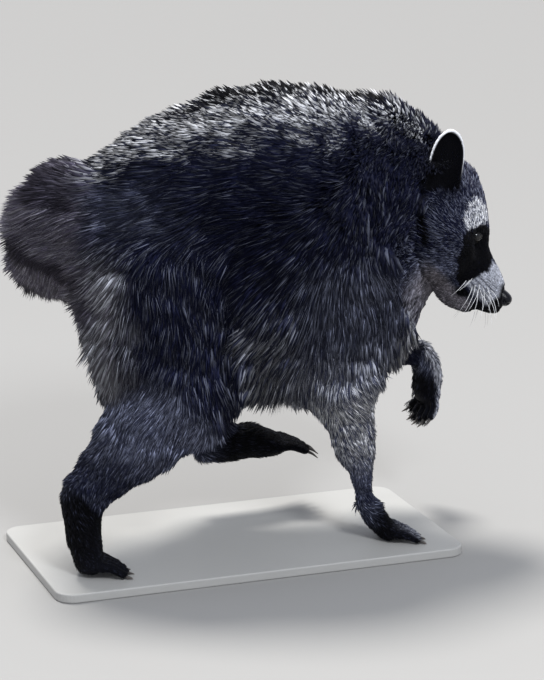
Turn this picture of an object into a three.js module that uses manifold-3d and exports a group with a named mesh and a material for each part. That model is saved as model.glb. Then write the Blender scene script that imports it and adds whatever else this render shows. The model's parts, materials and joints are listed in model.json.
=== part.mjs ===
// A raccoon in mid-stride, life size, in millimetres: +X ahead, +Y to its left, +Z up.
// Its right fore paw and right hind toes stand on a thin plate, and both left feet are lifted.
// The flesh is one smooth field of distance, drawn as a surface and parted with thin cuts.
import * as THREE from "three";
import { mergeVertices } from "three/addons/utils/BufferGeometryUtils.js";
import Module from "manifold-3d";

const wasm = await Module();
wasm.setup();

const GAP = 0.3; // width of the cuts between neighbouring parts
const v = (x, y, z) => new THREE.Vector3(x, y, z);

// ---------------------------------------------------------------- driving dimensions

// Where the joints of the skeleton lie. Z = 0 is the level of the soles that carry the weight.
const JOINTS = {
  right: {
    shoulder: v(146, -36, 236),
    elbow: v(124, -58, 152),
    wrist: v(150, -58, 36),
    hip: v(-38, -42, 240),
    knee: v(-14, -62, 152),
    hock: v(-104, -60, 70),
  },
  left: {
    shoulder: v(160, 36, 228),
    elbow: v(176, 54, 148),
    wrist: v(241, 46, 134),
    hip: v(-14, 40, 236),
    knee: v(34, 58, 146),
    hock: v(52, 62, 76),
  },
};

// Each foot is a palm or sole, given by [point, half width, half height], and digits from its last
// point to their tips.
const FEET = {
  right_fore_paw: {
    sole: [[v(149, -58, 38), 12, 12], [v(158, -59, 20), 14, 11], [v(168, -60, 7.4), 17, 8.5]],
    tips: v(193, -62, 2.6),
  },
  left_fore_paw: {
    sole: [[v(240, 46, 136), 15, 15], [v(252, 46, 117), 18, 15.5], [v(251, 46, 97), 18, 12]],
    tips: v(244, 45, 76),
  },
  right_hind_foot: {
    sole: [[v(-106, -60, 72), 17, 21], [v(-108, -60, 46), 16, 17], [v(-103, -61, 10), 17, 11.5]],
    tips: v(-73, -62, 2.6),
  },
  left_hind_foot: {
    sole: [
      [v(40, 62, 59), 14, 12],
      [v(62, 62, 63), 18, 19],
      [v(86, 62, 64), 18, 18],
      [v(108, 62, 58), 18, 11],
    ],
    tips: v(136, 62, 54),
  },
};
const DIGIT_RADIUS = 3.6;
const CLAW_LENGTH = { fore: 9, hind: 11 };
const DIGIT_REACH = [0.8, 0.96, 1, 0.95, 0.78]; // the digits' lengths beside the middle one's
const DIGIT_SPLAY = 3.5; // how far each digit's tip swings out from the next one's
const CLAW_RADIUS = 1.7;
const SOLE_SIDES = 8;
const DIGIT_SIDES = 5;
const CLAW_SIDES = 4;

// The head has a frame of its own: origin at the nose tip, +X along the muzzle, +Y left, +Z to the crown.
const NOSE_TIP = v(287, -52, 205);
const HEAD_YAW = -34;
const HEAD_PITCH = 38.5;
const HEAD_ROLL = -20;
const EYE_RADIUS = 6.2;
const EYE_PLACE = v(-56.5, 21.5, 21);
const NOSE_RADII = v(7.5, 8.5, 9);
const NOSE_PLACE = v(-7, 0, -4.5);
const EAR_PLACE = v(-106, 47, 27);
const EAR_TURN = { lean: -12, cant: -30, outward: 70 }; // degrees, for the left ear
const EAR_HEIGHT = 54;
const EAR_WIDTH = 42;
const EAR_THICKNESS = 3.2;
const EAR_CUP = 13; // how deep the hollow is at the ear's root
const EAR_SUNK = 8; // how far the root is set into the head

// The tail arches out of the rump, hangs, and swings to the left.
const TAIL = [
  [v(-58, 0, 308), 36],
  [v(-97, 5, 304), 40],
  [v(-112, 24, 276), 42],
  [v(-108, 52, 250), 40],
  [v(-96, 78, 236), 36],
  [v(-84, 100, 228), 27],
];

const TRUNK_WIDTH = 0.8; // beside its height
const NECK_WIDTH = 0.6; // where the trunk runs into the neck
const NARROWS = [110, 196]; // where along X its width goes from the one to the other

// How softly masses run together: the size of the fillets between them.
const FILLET = {
  barrel: 24,
  torso: 22,
  haunch: 20,
  neck: 20,
  legs: 14,
  limb: 12,
  skull: 12,
  face: 9,
  orbit: 7,
};

// Both soles on the ground are on the right, so a plate under them keeps the model upright.
const BASE = { x: [-140, 226], y: [-106, 84], thickness: 8, corner: 16 };

// The sizes of the cubes on which the surfaces are drawn: the smaller, the finer.
const CELL = { muzzle: 7, head: 10, forearm: 14, shank: 17, tail: 19, body: 25 };

const COLOURS = {
  coat: 0x3a3a44,
  dark: 0x1c1c22,
  nose: 0x0c0c10,
  eye: 0x080606,
  claw: 0x2a2624,
  base: 0xd8d4cc,
};

// ---------------------------------------------------------------- fields of distance, below zero inside

// A limb's flesh between two round ends of different sizes.
function taper(a, b, ra, rb) {
  const axis = b.clone().sub(a);
  const length = axis.length();
  axis.divideScalar(length);
  const slope = (ra - rb) / length;
  const run = Math.sqrt(Math.max(0, 1 - slope * slope));
  const d = new THREE.Vector3();
  return (p) => {
    d.subVectors(p, a);
    const along = d.dot(axis);
    const off = Math.sqrt(Math.max(0, d.lengthSq() - along * along));
    const k = along * run - off * slope; // which end is nearest, along the sloping side
    if (k < 0) return Math.hypot(along, off) - ra;
    if (k > length * run) return Math.hypot(along - length, off) - rb;
    return off * run + along * slope - ra;
  };
}

// An ellipsoid about a centre.
function mass(centre, radii) {
  const d = new THREE.Vector3();
  const g = new THREE.Vector3();
  return (p) => {
    d.subVectors(p, centre).divide(radii);
    g.copy(d).divide(radii);
    const k = d.length();
    return (k * (k - 1)) / Math.max(g.length(), 1e-9);
  };
}

// The same field made narrower along Y about the plane y = middle, by a share worked out from X.
function narrowed(field, middle, shareAt) {
  const q = new THREE.Vector3();
  return (p) => {
    const share = shareAt(p.x);
    q.set(p.x, middle + (p.y - middle) / share, p.z);
    return field(q) * share;
  };
}

const blendOf = (a, b, soft) => {
  const h = Math.max(soft - Math.abs(a - b), 0) / soft;
  return Math.min(a, b) - (h * h * soft) / 4;
};

// Masses run together, with fillets of about the given size.
const joined = (fields, soft) => (p) => {
  let d = fields[0](p);
  for (let i = 1; i < fields.length; i++) d = blendOf(d, fields[i](p), soft);
  return d;
};

// A hollow pressed softly into a field.
const hollowed = (field, tool, soft) => (p) => -blendOf(-field(p), tool(p), soft);

// Tapers through a list of [point, radius].
const chain = (stops) =>
  stops.slice(1).map(([point, radius], i) => taper(stops[i][0], point, stops[i][1], radius));

// ---------------------------------------------------------------- flesh

function trunkField() {
  const barrel = chain([
    [v(-26, 0, 268), 76],
    [v(16, 0, 270), 105],
    [v(78, 0, 264), 129],
    [v(124, 0, 262), 125],
    [v(150, 0, 266), 110],
    [v(168, 2, 270), 88],
  ]);
  const widthAt = (x) =>
    THREE.MathUtils.lerp(TRUNK_WIDTH, NECK_WIDTH, THREE.MathUtils.smoothstep(x, ...NARROWS));
  return narrowed(joined(barrel, FILLET.barrel), 0, widthAt);
}

function thighField(side) {
  const { hip, knee } = JOINTS[side];
  const out = side === "right" ? -1 : 1;
  const buttock = hip.clone().add(v(-16, out * 8, -18));
  const ham = hip.clone().lerp(knee, 0.72).add(v(-32, out * 2, 0));
  const ends = side === "right" ? [58, 44] : [52, 40];
  return joined(
    [taper(hip, knee, ...ends), mass(buttock, v(46, 32, 54)), mass(ham, v(38, 32, 46))],
    FILLET.haunch,
  );
}

function shankField(side) {
  const { knee, hock } = JOINTS[side];
  const calf = knee.clone().lerp(hock, 0.45).add(v(-4, 0, -2));
  const radii = side === "right" ? [40, 34, 24] : [36, 28, 20];
  return joined(chain([[knee, radii[0]], [calf, radii[1]], [hock, radii[2]]]), FILLET.limb);
}

function upperArmField(side) {
  const { shoulder, elbow } = JOINTS[side];
  return taper(shoulder, elbow, 52, side === "right" ? 34 : 28);
}

function forearmField(side) {
  const { elbow, wrist } = JOINTS[side];
  const thick = elbow.clone().lerp(wrist, 0.5);
  const radii = side === "right" ? [29, 19, 12] : [23, 18, 14.5];
  return joined(chain([[elbow, radii[0]], [thick, radii[1]], [wrist, radii[2]]]), FILLET.limb);
}

// The head, in its own frame.
const headGroup = new THREE.Group();
headGroup.position.copy(NOSE_TIP);
headGroup.rotation.set(
  THREE.MathUtils.degToRad(HEAD_ROLL),
  THREE.MathUtils.degToRad(HEAD_PITCH),
  THREE.MathUtils.degToRad(HEAD_YAW),
  "ZYX",
);
headGroup.updateMatrixWorld(true);
const fromHead = headGroup.matrixWorld;
const toHead = fromHead.clone().invert();
const inHead = (x, y, z) => v(x, y, z).applyMatrix4(fromHead);
const bothSides = (make) => [make(1), make(-1)];

function headField() {
  const muzzle = chain([[v(-11, 0, -5), 8.5], [v(-26, 0, -5), 13.5], [v(-46, 0, -6), 19.5]]);
  const bridge = taper(v(-38, 0, 0), v(-64, 0, 12), 12, 21);
  const jaw = chain([[v(-17, 0, -17), 7], [v(-40, 0, -22), 13.5], [v(-70, 0, -18), 24]]);
  const brow = mass(v(-83, 0, 12), v(31, 40, 35));
  const crown = mass(v(-100, 0, 14), v(44, 48, 48));
  const cheeks = bothSides((s) => mass(v(-80, s * 31, -7), v(34, 31, 32)));
  const lips = bothSides((s) => mass(v(-24, s * 7.5, -12), v(17, 9, 9)));
  const flesh = joined([...muzzle, ...jaw, bridge, brow, crown, ...cheeks, ...lips], FILLET.skull);
  const sockets = bothSides((s) => mass(v(-48, s * 25, 20), v(12, 11, 9)));
  const field = sockets.reduce((whole, socket) => hollowed(whole, socket, FILLET.orbit), flesh);
  const q = new THREE.Vector3();
  return (p) => field(q.copy(p).applyMatrix4(toHead));
}

function neckField() {
  const nape = taper(v(184, 6, 290), inHead(-116, 6, 10), 78, 46);
  const throat = taper(v(186, 6, 242), inHead(-96, 2, -14), 64, 38);
  return narrowed(joined([nape, throat], FILLET.neck), 6, () => NECK_WIDTH + 0.1);
}

const SIDES = ["right", "left"];
const torso = joined(
  [trunkField(), neckField(), ...SIDES.map(thighField), ...SIDES.map(upperArmField)],
  FILLET.torso,
);
const tail = joined(chain(TAIL), FILLET.limb);
const body = joined([torso, ...SIDES.map(shankField), ...SIDES.map(forearmField), tail], FILLET.legs);
const flesh = joined([body, headField()], FILLET.face);

// ---------------------------------------------------------------- surfaces and solids

// The surface where a field is zero, on a grid of cubes that starts at the origin of the frame: one
// vertex in each cube that it passes through, and one four-sided face round each grid line that it
// crosses. Neighbouring parts drawn with cubes of one size therefore have one surface.
function surfaceOf(field, box, cell) {
  const low = box.min.clone().divideScalar(cell).floor().multiplyScalar(cell);
  const [nx, ny, nz] = ["x", "y", "z"].map(
    (axis) => Math.ceil((box.max[axis] - low[axis]) / cell) + 2,
  );
  const at = (i, j, k) => i + nx * (j + ny * k);
  const value = new Float32Array(nx * ny * nz);
  const p = new THREE.Vector3();
  for (let k = 0; k < nz; k++)
    for (let j = 0; j < ny; j++)
      for (let i = 0; i < nx; i++) {
        const rim = !i || !j || !k || i === nx - 1 || j === ny - 1 || k === nz - 1;
        p.set(low.x + i * cell, low.y + j * cell, low.z + k * cell);
        value[at(i, j, k)] = rim ? cell : field(p) || 1e-6;
      }
  const corners = [0, 1, 2, 3, 4, 5, 6, 7].map((c) => [c & 1, (c >> 1) & 1, (c >> 2) & 1]);
  const edges = [];
  for (let c = 0; c < 8; c++)
    for (const bit of [1, 2, 4]) if (!(c & bit)) edges.push([c, c | bit]);
  const places = [];
  const vertexOf = new Int32Array(nx * ny * nz).fill(-1);
  for (let k = 0; k < nz - 1; k++)
    for (let j = 0; j < ny - 1; j++)
      for (let i = 0; i < nx - 1; i++) {
        const sum = [0, 0, 0];
        let crossings = 0;
        for (const [c, d] of edges) {
          const [a, b] = [corners[c], corners[d]];
          const va = value[at(i + a[0], j + a[1], k + a[2])];
          const vb = value[at(i + b[0], j + b[1], k + b[2])];
          if (va < 0 === vb < 0) continue;
          const t = va / (va - vb);
          for (let n = 0; n < 3; n++) sum[n] += a[n] + t * (b[n] - a[n]);
          crossings++;
        }
        if (!crossings) continue;
        vertexOf[at(i, j, k)] = places.length / 3;
        places.push(low.x + (i + sum[0] / crossings) * cell);
        places.push(low.y + (j + sum[1] / crossings) * cell);
        places.push(low.z + (k + sum[2] / crossings) * cell);
      }
  const faces = [];
  const steps = [at(1, 0, 0), at(0, 1, 0), at(0, 0, 1)];
  for (let k = 0; k < nz - 1; k++)
    for (let j = 0; j < ny - 1; j++)
      for (let i = 0; i < nx - 1; i++)
        for (let n = 0; n < 3; n++) {
          const here = at(i, j, k);
          const inside = value[here] < 0;
          if (inside === value[here + steps[n]] < 0) continue;
          const [s, t] = [steps[(n + 1) % 3], steps[(n + 2) % 3]];
          const quad = [here - s - t, here - t, here, here - s].map((cube) => vertexOf[cube]);
          if (!inside) quad.reverse();
          faces.push(quad[0], quad[1], quad[2], quad[0], quad[2], quad[3]);
        }
  return new THREE.BufferGeometry()
    .setAttribute("position", new THREE.Float32BufferAttribute(places, 3))
    .setIndex(faces);
}

function solidOf(geometry) {
  const bare = geometry.clone();
  bare.deleteAttribute("normal");
  bare.deleteAttribute("uv");
  const merged = mergeVertices(bare, 1e-4);
  return new wasm.Manifold(
    new wasm.Mesh({
      numProp: 3,
      vertProperties: new Float32Array(merged.attributes.position.array),
      triVerts: new Uint32Array(merged.index.array),
    }),
  );
}

function geometryOf(solid) {
  const mesh = solid.getMesh();
  return new THREE.BufferGeometry()
    .setAttribute("position", new THREE.BufferAttribute(mesh.vertProperties, 3))
    .setIndex(new THREE.BufferAttribute(mesh.triVerts, 1))
    .toNonIndexed();
}

// A closed tube through stops of [point, half width, half height], with rounded ends. Its width lies
// along Y, as nearly as the way that it runs allows.
const END_RING = { scale: 0.7, reach: 0.65 };
function loft(stops, sides, rings) {
  const line = new THREE.CatmullRomCurve3(stops.map(([point]) => point), false, "centripetal");
  const last = stops.length - 1;
  const sizeAt = (t, key) => {
    const i = Math.min(Math.floor(t * last), last - 1);
    return THREE.MathUtils.lerp(stops[i][key], stops[i + 1][key], t * last - i);
  };
  const places = [];
  const ringAt = (t, scale, reach) => {
    const way = line.getTangent(t);
    const across = v(0, 1, 0).addScaledVector(way, -way.y).normalize();
    const above = new THREE.Vector3().crossVectors(way, across);
    const [wide, high] = [sizeAt(t, 1) * scale, sizeAt(t, 2) * scale];
    const centre = line.getPoint(t).addScaledVector(way, reach * sizeAt(t, 2));
    for (let s = 0; s < sides; s++) {
      const angle = (2 * Math.PI * (s + 0.5)) / sides;
      const p = centre.clone().addScaledVector(across, Math.cos(angle) * wide);
      places.push(...p.addScaledVector(above, Math.sin(angle) * high));
    }
  };
  ringAt(0, END_RING.scale, -END_RING.reach);
  for (let r = 0; r < rings; r++) ringAt(r / (rings - 1), 1, 0);
  ringAt(1, END_RING.scale, END_RING.reach);
  const faces = [];
  for (let r = 0; r < rings + 1; r++)
    for (let s = 0; s < sides; s++) {
      const [a, b] = [r * sides + s, r * sides + ((s + 1) % sides)];
      faces.push(a, b, b + sides, a, b + sides, a + sides);
    }
  const end = (rings + 1) * sides;
  for (let s = 1; s + 1 < sides; s++) faces.push(0, s + 1, s, end, end + s, end + s + 1);
  return solidOf(
    new THREE.BufferGeometry()
      .setAttribute("position", new THREE.Float32BufferAttribute(places, 3))
      .setIndex(faces),
  );
}

// ---------------------------------------------------------------- regions that part the flesh

// A round region between two points, flat at both ends.
const sleeve = (a, b, ra, rb) => (grow) => {
  const way = b.clone().sub(a);
  const length = way.length() + 2 * grow;
  const geometry = new THREE.CylinderGeometry(rb + grow, ra + grow, length, 10);
  const turn = new THREE.Quaternion().setFromUnitVectors(v(0, 1, 0), way.normalize());
  const middle = a.clone().add(b).multiplyScalar(0.5);
  return solidOf(geometry.applyQuaternion(turn).translate(...middle));
};

// A block between two corners, turned with a frame if one is given.
const block = (low, high, frame = new THREE.Matrix4()) => (grow) => {
  const size = high.clone().sub(low).addScalar(2 * grow);
  const middle = high.clone().add(low).multiplyScalar(0.5);
  return solidOf(new THREE.BoxGeometry(...size).translate(...middle).applyMatrix4(frame));
};

const BODY_BOX = new THREE.Box3(v(-200, -150, 60), v(330, 150, 430));
const along = (a, b, share) => a.clone().lerp(b, share);

function tailRegions() {
  const [root, arch, back, bend, side, end] = TAIL.map(([point]) => point);
  const tip = sleeve(along(bend, side, 0.3), along(side, end, 2.6), 62, 52);
  const middle = sleeve(along(arch, back, 0.62), along(bend, side, 0.7), 52, 60);
  const base = block(root.clone().add(v(-140, -70, -75)), root.clone().add(v(-17, 70, 60)));
  return [
    { name: "tail_tip", cell: CELL.tail, region: tip },
    { name: "tail_middle", cell: CELL.tail, region: middle },
    { name: "tail_root", cell: CELL.tail, region: base },
  ];
}

function limbRegions(side) {
  const { shoulder, elbow, wrist, hip, knee, hock } = JOINTS[side];
  const out = side === "right" ? -1 : 1;
  const shin = side === "right" ? [56, 34] : [46, 30];
  const beside = (middle, inner, outer, behind, ahead, below, above) => {
    const [low, high] = out > 0 ? [inner, outer] : [-outer, -inner];
    return block(v(middle.x - behind, low, middle.z - below), v(middle.x + ahead, high, middle.z + above));
  };
  const arm = beside(along(shoulder, elbow, 0.4), 36, 140, 48, 44, 90, 60);
  const thigh = beside(hip, 24, 150, 90, 62, 130, 44);
  return [
    { name: side + "_forearm", cell: CELL.forearm, region: sleeve(elbow, wrist, 38, 22) },
    { name: side + "_shank", cell: CELL.shank, region: sleeve(knee, hock, ...shin) },
    { name: side + "_upper_arm", cell: CELL.body, region: arm },
    { name: side + "_thigh", cell: CELL.body, region: thigh },
  ];
}

const regions = [
  { name: "muzzle", cell: CELL.muzzle, region: block(v(-44, -32, -40), v(20, 32, 40), fromHead) },
  { name: "head", cell: CELL.head, region: block(v(-106, -72, -46), v(20, 72, 120), fromHead) },
  { name: "neck", cell: CELL.body, region: block(v(178, -130, 190), v(330, 130, 440)) },
  ...tailRegions(),
  ...SIDES.flatMap(limbRegions),
];

// ---------------------------------------------------------------- ears, eyes and nose

// A thick, cupped leaf: rounded at the tip, its hollow turned ahead and outwards.
const EAR_ROWS = 7;
const EAR_COLUMNS = 6;
function earSolid(side, grow) {
  const turn = new THREE.Euler(
    THREE.MathUtils.degToRad(side * EAR_TURN.lean),
    THREE.MathUtils.degToRad(EAR_TURN.cant),
    THREE.MathUtils.degToRad(side * EAR_TURN.outward),
    "YXZ",
  );
  const root = v(EAR_PLACE.x, side * EAR_PLACE.y, EAR_PLACE.z);
  const point = (row, column, back) => {
    const t = row / EAR_ROWS;
    const s = (2 * column) / EAR_COLUMNS - 1;
    const round = Math.sqrt(Math.max(0.03, 1 - Math.pow(t, 3.6)));
    const half = (EAR_WIDTH / 2) * round * (0.86 + 0.2 * t) + grow;
    const cup = EAR_CUP * (1 - s * s) * (1 - 0.45 * t) + (back ? EAR_THICKNESS + grow : -2 * grow);
    const height = t * (EAR_HEIGHT + EAR_SUNK + 2 * grow) - EAR_SUNK - grow;
    return v(-cup, s * half * (back ? 0.94 : 1), height).applyEuler(turn).add(root).applyMatrix4(fromHead);
  };
  const places = [];
  for (const back of [0, 1])
    for (let row = 0; row <= EAR_ROWS; row++)
      for (let column = 0; column <= EAR_COLUMNS; column++) places.push(...point(row, column, back));
  const index = (row, column, back) =>
    (back * (EAR_ROWS + 1) + row) * (EAR_COLUMNS + 1) + column;
  const faces = [];
  const quad = (a, b, c, d, turned) =>
    faces.push(...(turned ? [a, c, b, a, d, c] : [a, b, c, a, c, d]));
  for (let row = 0; row < EAR_ROWS; row++)
    for (let column = 0; column < EAR_COLUMNS; column++)
      for (const back of [0, 1]) {
        const [a, b] = [index(row, column, back), index(row, column + 1, back)];
        const [c, d] = [index(row + 1, column + 1, back), index(row + 1, column, back)];
        quad(a, b, c, d, back === 1);
      }
  for (let r = 0; r < EAR_ROWS; r++)
    for (const [c, turned] of [[0, false], [EAR_COLUMNS, true]])
      quad(index(r, c, 0), index(r + 1, c, 0), index(r + 1, c, 1), index(r, c, 1), turned);
  for (let c = 0; c < EAR_COLUMNS; c++)
    for (const [r, turned] of [[0, false], [EAR_ROWS, true]])
      quad(index(r, c, 0), index(r, c, 1), index(r, c + 1, 1), index(r, c + 1, 0), turned);
  return solidOf(
    new THREE.BufferGeometry()
      .setAttribute("position", new THREE.Float32BufferAttribute(places, 3))
      .setIndex(faces),
  );
}

const eyeSolid = (side, grow) =>
  solidOf(
    new THREE.SphereGeometry(EYE_RADIUS + grow, 10, 8).translate(
      ...inHead(EYE_PLACE.x, side * EYE_PLACE.y, EYE_PLACE.z),
    ),
  );

const noseSolid = (grow) =>
  solidOf(
    new THREE.SphereGeometry(1, 10, 8)
      .scale(...NOSE_RADII.clone().addScalar(grow))
      .translate(...NOSE_PLACE)
      .applyMatrix4(fromHead),
  );

// ---------------------------------------------------------------- feet and claws

// The palm or sole and its five digits, joined, and the five claws, each butted to a digit's tip.
function footSolids(name) {
  const { sole, tips } = FEET[name];
  const clawLength = CLAW_LENGTH[name.includes("fore") ? "fore" : "hind"];
  const [ball, , height] = sole[sole.length - 1];
  const way = tips.clone().sub(ball);
  const above = way.clone().cross(v(0, 1, 0)).normalize();
  const tipRadius = DIGIT_RADIUS * 0.85;
  const parts = [loft(sole, SOLE_SIDES, 4)];
  const claws = DIGIT_REACH.map((reach, i) => {
    const out = i - 2;
    const start = ball.clone().add(v(0, out * (DIGIT_RADIUS * 2 + 0.2), 0));
    const end = start.clone().addScaledVector(way, reach).add(v(0, out * DIGIT_SPLAY, 0));
    const arch = along(start, end, 0.5).addScaledVector(above, height / 3);
    const stops = [[start, DIGIT_RADIUS], [arch, DIGIT_RADIUS], [end, tipRadius]];
    parts.push(loft(stops.map(([point, radius]) => [point, radius, radius]), DIGIT_SIDES, 3));
    const ahead = end.clone().sub(arch).normalize();
    const clear = END_RING.reach * (tipRadius + CLAW_RADIUS) + GAP;
    const root = end.clone().addScaledVector(ahead, clear);
    const bend = root.clone().addScaledVector(ahead, clawLength * 0.45).addScaledVector(above, 0.4);
    const point = root.clone().addScaledVector(ahead, clawLength * 0.85).addScaledVector(above, -1.2);
    const clawStops = [[root, CLAW_RADIUS], [bend, CLAW_RADIUS * 0.8], [point, CLAW_RADIUS * 0.25]];
    return loft(clawStops.map(([place, radius]) => [place, radius, radius]), CLAW_SIDES, 3);
  });
  return { foot: parts.reduce((whole, part) => whole.add(part)), claws };
}

// ---------------------------------------------------------------- the plate

function baseGeometry() {
  const { x, y, thickness, corner } = BASE;
  const outline = new THREE.Shape();
  const corners = [
    [x[1] - corner, y[0] + corner, -Math.PI / 2],
    [x[1] - corner, y[1] - corner, 0],
    [x[0] + corner, y[1] - corner, Math.PI / 2],
    [x[0] + corner, y[0] + corner, Math.PI],
  ];
  for (const [cx, cy, from] of corners) outline.absarc(cx, cy, corner, from, from + Math.PI / 2, false);
  const plate = new THREE.ExtrudeGeometry(outline, {
    depth: thickness,
    bevelEnabled: false,
    curveSegments: 4,
  });
  return plate.translate(0, 0, -GAP - thickness);
}

// ---------------------------------------------------------------- the whole

const raccoon = new THREE.Group();

function place(name, geometry, colour, roughness = 0.9) {
  const material = new THREE.MeshStandardMaterial({ color: colour, roughness, metalness: 0 });
  const mesh = new THREE.Mesh(geometry, material);
  mesh.geometry.computeVertexNormals();
  mesh.name = name;
  raccoon.add(mesh);
}

// The largest body of a solid: the cuts leave crumbs.
const largestOf = (solid) =>
  geometryOf(solid.decompose().reduce((best, body) => (body.volume() > best.volume() ? body : best)));

const sideName = (side) => (side > 0 ? "left" : "right");
const sockets = [
  noseSolid(GAP),
  ...bothSides((side) => eyeSolid(side, GAP)),
  ...bothSides((side) => earSolid(side, 2 * GAP)),
];

const claimed = [];
function placeFlesh(name, cell, box, region) {
  let piece = solidOf(surfaceOf(flesh, box, cell));
  if (region) piece = piece.intersect(region(0));
  for (const earlier of [...claimed, ...sockets]) piece = piece.subtract(earlier);
  place(name, largestOf(piece), COLOURS.coat);
}
for (const { name, cell, region } of regions) {
  const { min, max } = region(0).boundingBox();
  placeFlesh(name, cell, new THREE.Box3(v(...min), v(...max)).expandByScalar(2 * cell), region);
  claimed.push(region(GAP));
}
placeFlesh("trunk", CELL.body, BODY_BOX);

place("nose", geometryOf(noseSolid(0)), COLOURS.nose, 0.4);
for (const side of [1, -1]) {
  place("eye_" + sideName(side), geometryOf(eyeSolid(side, 0)), COLOURS.eye, 0.05);
  place("ear_" + sideName(side), geometryOf(earSolid(side, 0)), COLOURS.dark);
}

// The ground, which flattens whatever meets it.
const GROUND = { width: 900, depth: 100 };
const ground = solidOf(
  new THREE.BoxGeometry(GROUND.width, GROUND.width, GROUND.depth).translate(0, 0, -GROUND.depth / 2),
);
for (const name of Object.keys(FEET)) {
  const { foot, claws } = footSolids(name);
  let solid = foot.subtract(ground);
  for (const earlier of claimed) solid = solid.subtract(earlier);
  claws.forEach((claw, i) => {
    place(name + "_claw_" + (i + 1), largestOf(claw.subtract(ground)), COLOURS.claw, 0.5);
  });
  place(name, largestOf(solid), COLOURS.dark);
}

place("stand_base", baseGeometry(), COLOURS.base, 0.6);

// The model's origin is the middle of its floor: the underside of the plate.
const whole = new THREE.Box3().setFromObject(raccoon);
const middle = whole.getCenter(new THREE.Vector3());
raccoon.position.set(-middle.x, -middle.y, -whole.min.z);
const model = new THREE.Group();
model.add(raccoon);

export default model;
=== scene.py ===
"""A life-size raccoon in mid-stride: one skin, the coat of tufts that lies over it, eyes, nose, claws
and whiskers, on the thin plate that keeps it upright. In metres, +X ahead, +Y to its left, +Z up."""

import json
import math
from contextlib import contextmanager

import bmesh
import bpy
import numpy as np
from mathutils import Matrix, Vector
from mathutils.bvhtree import BVHTree


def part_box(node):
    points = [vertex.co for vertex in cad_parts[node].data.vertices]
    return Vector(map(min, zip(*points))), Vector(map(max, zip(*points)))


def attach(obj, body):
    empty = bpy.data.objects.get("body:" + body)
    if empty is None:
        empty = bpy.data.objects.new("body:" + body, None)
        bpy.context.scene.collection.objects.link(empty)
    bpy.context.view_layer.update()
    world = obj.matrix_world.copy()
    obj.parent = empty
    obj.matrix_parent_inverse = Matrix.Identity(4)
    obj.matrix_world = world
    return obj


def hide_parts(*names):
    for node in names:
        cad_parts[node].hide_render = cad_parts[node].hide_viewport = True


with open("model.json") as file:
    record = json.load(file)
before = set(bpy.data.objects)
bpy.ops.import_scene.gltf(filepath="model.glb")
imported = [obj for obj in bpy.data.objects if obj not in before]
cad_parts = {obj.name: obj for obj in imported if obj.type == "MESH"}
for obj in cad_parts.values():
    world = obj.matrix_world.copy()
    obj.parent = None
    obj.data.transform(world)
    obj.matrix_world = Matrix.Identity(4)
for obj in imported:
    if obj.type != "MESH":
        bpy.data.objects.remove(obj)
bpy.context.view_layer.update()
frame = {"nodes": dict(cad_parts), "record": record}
nodes = frame["nodes"]
slot_of = {part["node"]: part["material_slot"] for part in frame["record"]["subparts"]}

MM = 0.001
SEED = 11
SIDES = ("right", "left")
FEET = [side + "_" + foot for side in SIDES for foot in ("fore_paw", "hind_foot")]
EARS = ["ear_right", "ear_left"]
FLESH = [n for n in nodes if slot_of[n] in ("coat", "paw") and n not in EARS]

# ---------------------------------------------------------------- camera

CAMERA = {"azimuth": -20.0, "elevation": 14.5, "distance": 2.3, "lens": 140.0, "sensor": 36.0}
CAMERA_TARGET = Vector((0.0177, -0.0068, 0.1803))


def make_camera():
    azimuth, elevation = math.radians(CAMERA["azimuth"]), math.radians(CAMERA["elevation"])
    level = math.cos(elevation)
    back = Vector((math.sin(azimuth) * level, -math.cos(azimuth) * level, math.sin(elevation)))
    data = bpy.data.cameras.new("camera")
    data.lens, data.sensor_width = CAMERA["lens"], CAMERA["sensor"]
    camera = bpy.data.objects.new("camera", data)
    camera.location = CAMERA_TARGET + back * CAMERA["distance"]
    camera.rotation_euler = back.to_track_quat("Z", "Y").to_euler()
    bpy.context.scene.collection.objects.link(camera)
    bpy.context.scene.camera = camera


# ---------------------------------------------------------------- meshes as arrays


def new_object(name, mesh):
    obj = bpy.data.objects.new(name, mesh)
    bpy.context.scene.collection.objects.link(obj)
    return obj


def copy_of(name, members):
    """CAD nodes, merged into one new object."""
    bm = bmesh.new()
    for node in members:
        bm.from_mesh(nodes[node].data)
    bmesh.ops.remove_doubles(bm, verts=bm.verts, dist=0.01 * MM)
    return from_bmesh(name, bm)


def from_bmesh(name, bm):
    mesh = bpy.data.meshes.new(name)
    bm.to_mesh(mesh)
    bm.free()
    return new_object(name, mesh)


def applied(obj, kind, **settings):
    """The object with a modifier's result as its mesh."""
    modifier = obj.modifiers.new(kind, kind)
    for key, value in settings.items():
        setattr(modifier, key, value)
    evaluated = obj.evaluated_get(bpy.context.evaluated_depsgraph_get())
    mesh = bpy.data.meshes.new_from_object(evaluated)
    obj.modifiers.clear()
    obj.data = mesh
    return obj


def joined_up(name, parts):
    """One object that holds the meshes of several."""
    bm = bmesh.new()
    for part in parts:
        bm.from_mesh(part.data)
        bpy.data.objects.remove(part)
    return from_bmesh(name, bm)


@contextmanager
def editing(obj):
    """The object's mesh as a bmesh, written back once the changes to it are made."""
    bm = bmesh.new()
    bm.from_mesh(obj.data)
    yield bm
    bm.to_mesh(obj.data)
    bm.free()


def read(items, key, width, kind=np.float32):
    """One value of each item, as a row of numbers."""
    values = np.empty(len(items) * width, kind)
    items.foreach_get(key, values)
    return values.reshape(-1, width)


def points_of(mesh):
    return read(mesh.vertices, "co", 3).astype(float)


def set_points(mesh, points):
    mesh.vertices.foreach_set("co", points.astype(np.float32).ravel())
    mesh.update()


def normals_of(mesh):
    return read(mesh.vertex_normals, "vector", 3).astype(float)


def edges_of(mesh):
    return read(mesh.edges, "vertices", 2, np.int32)


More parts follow.
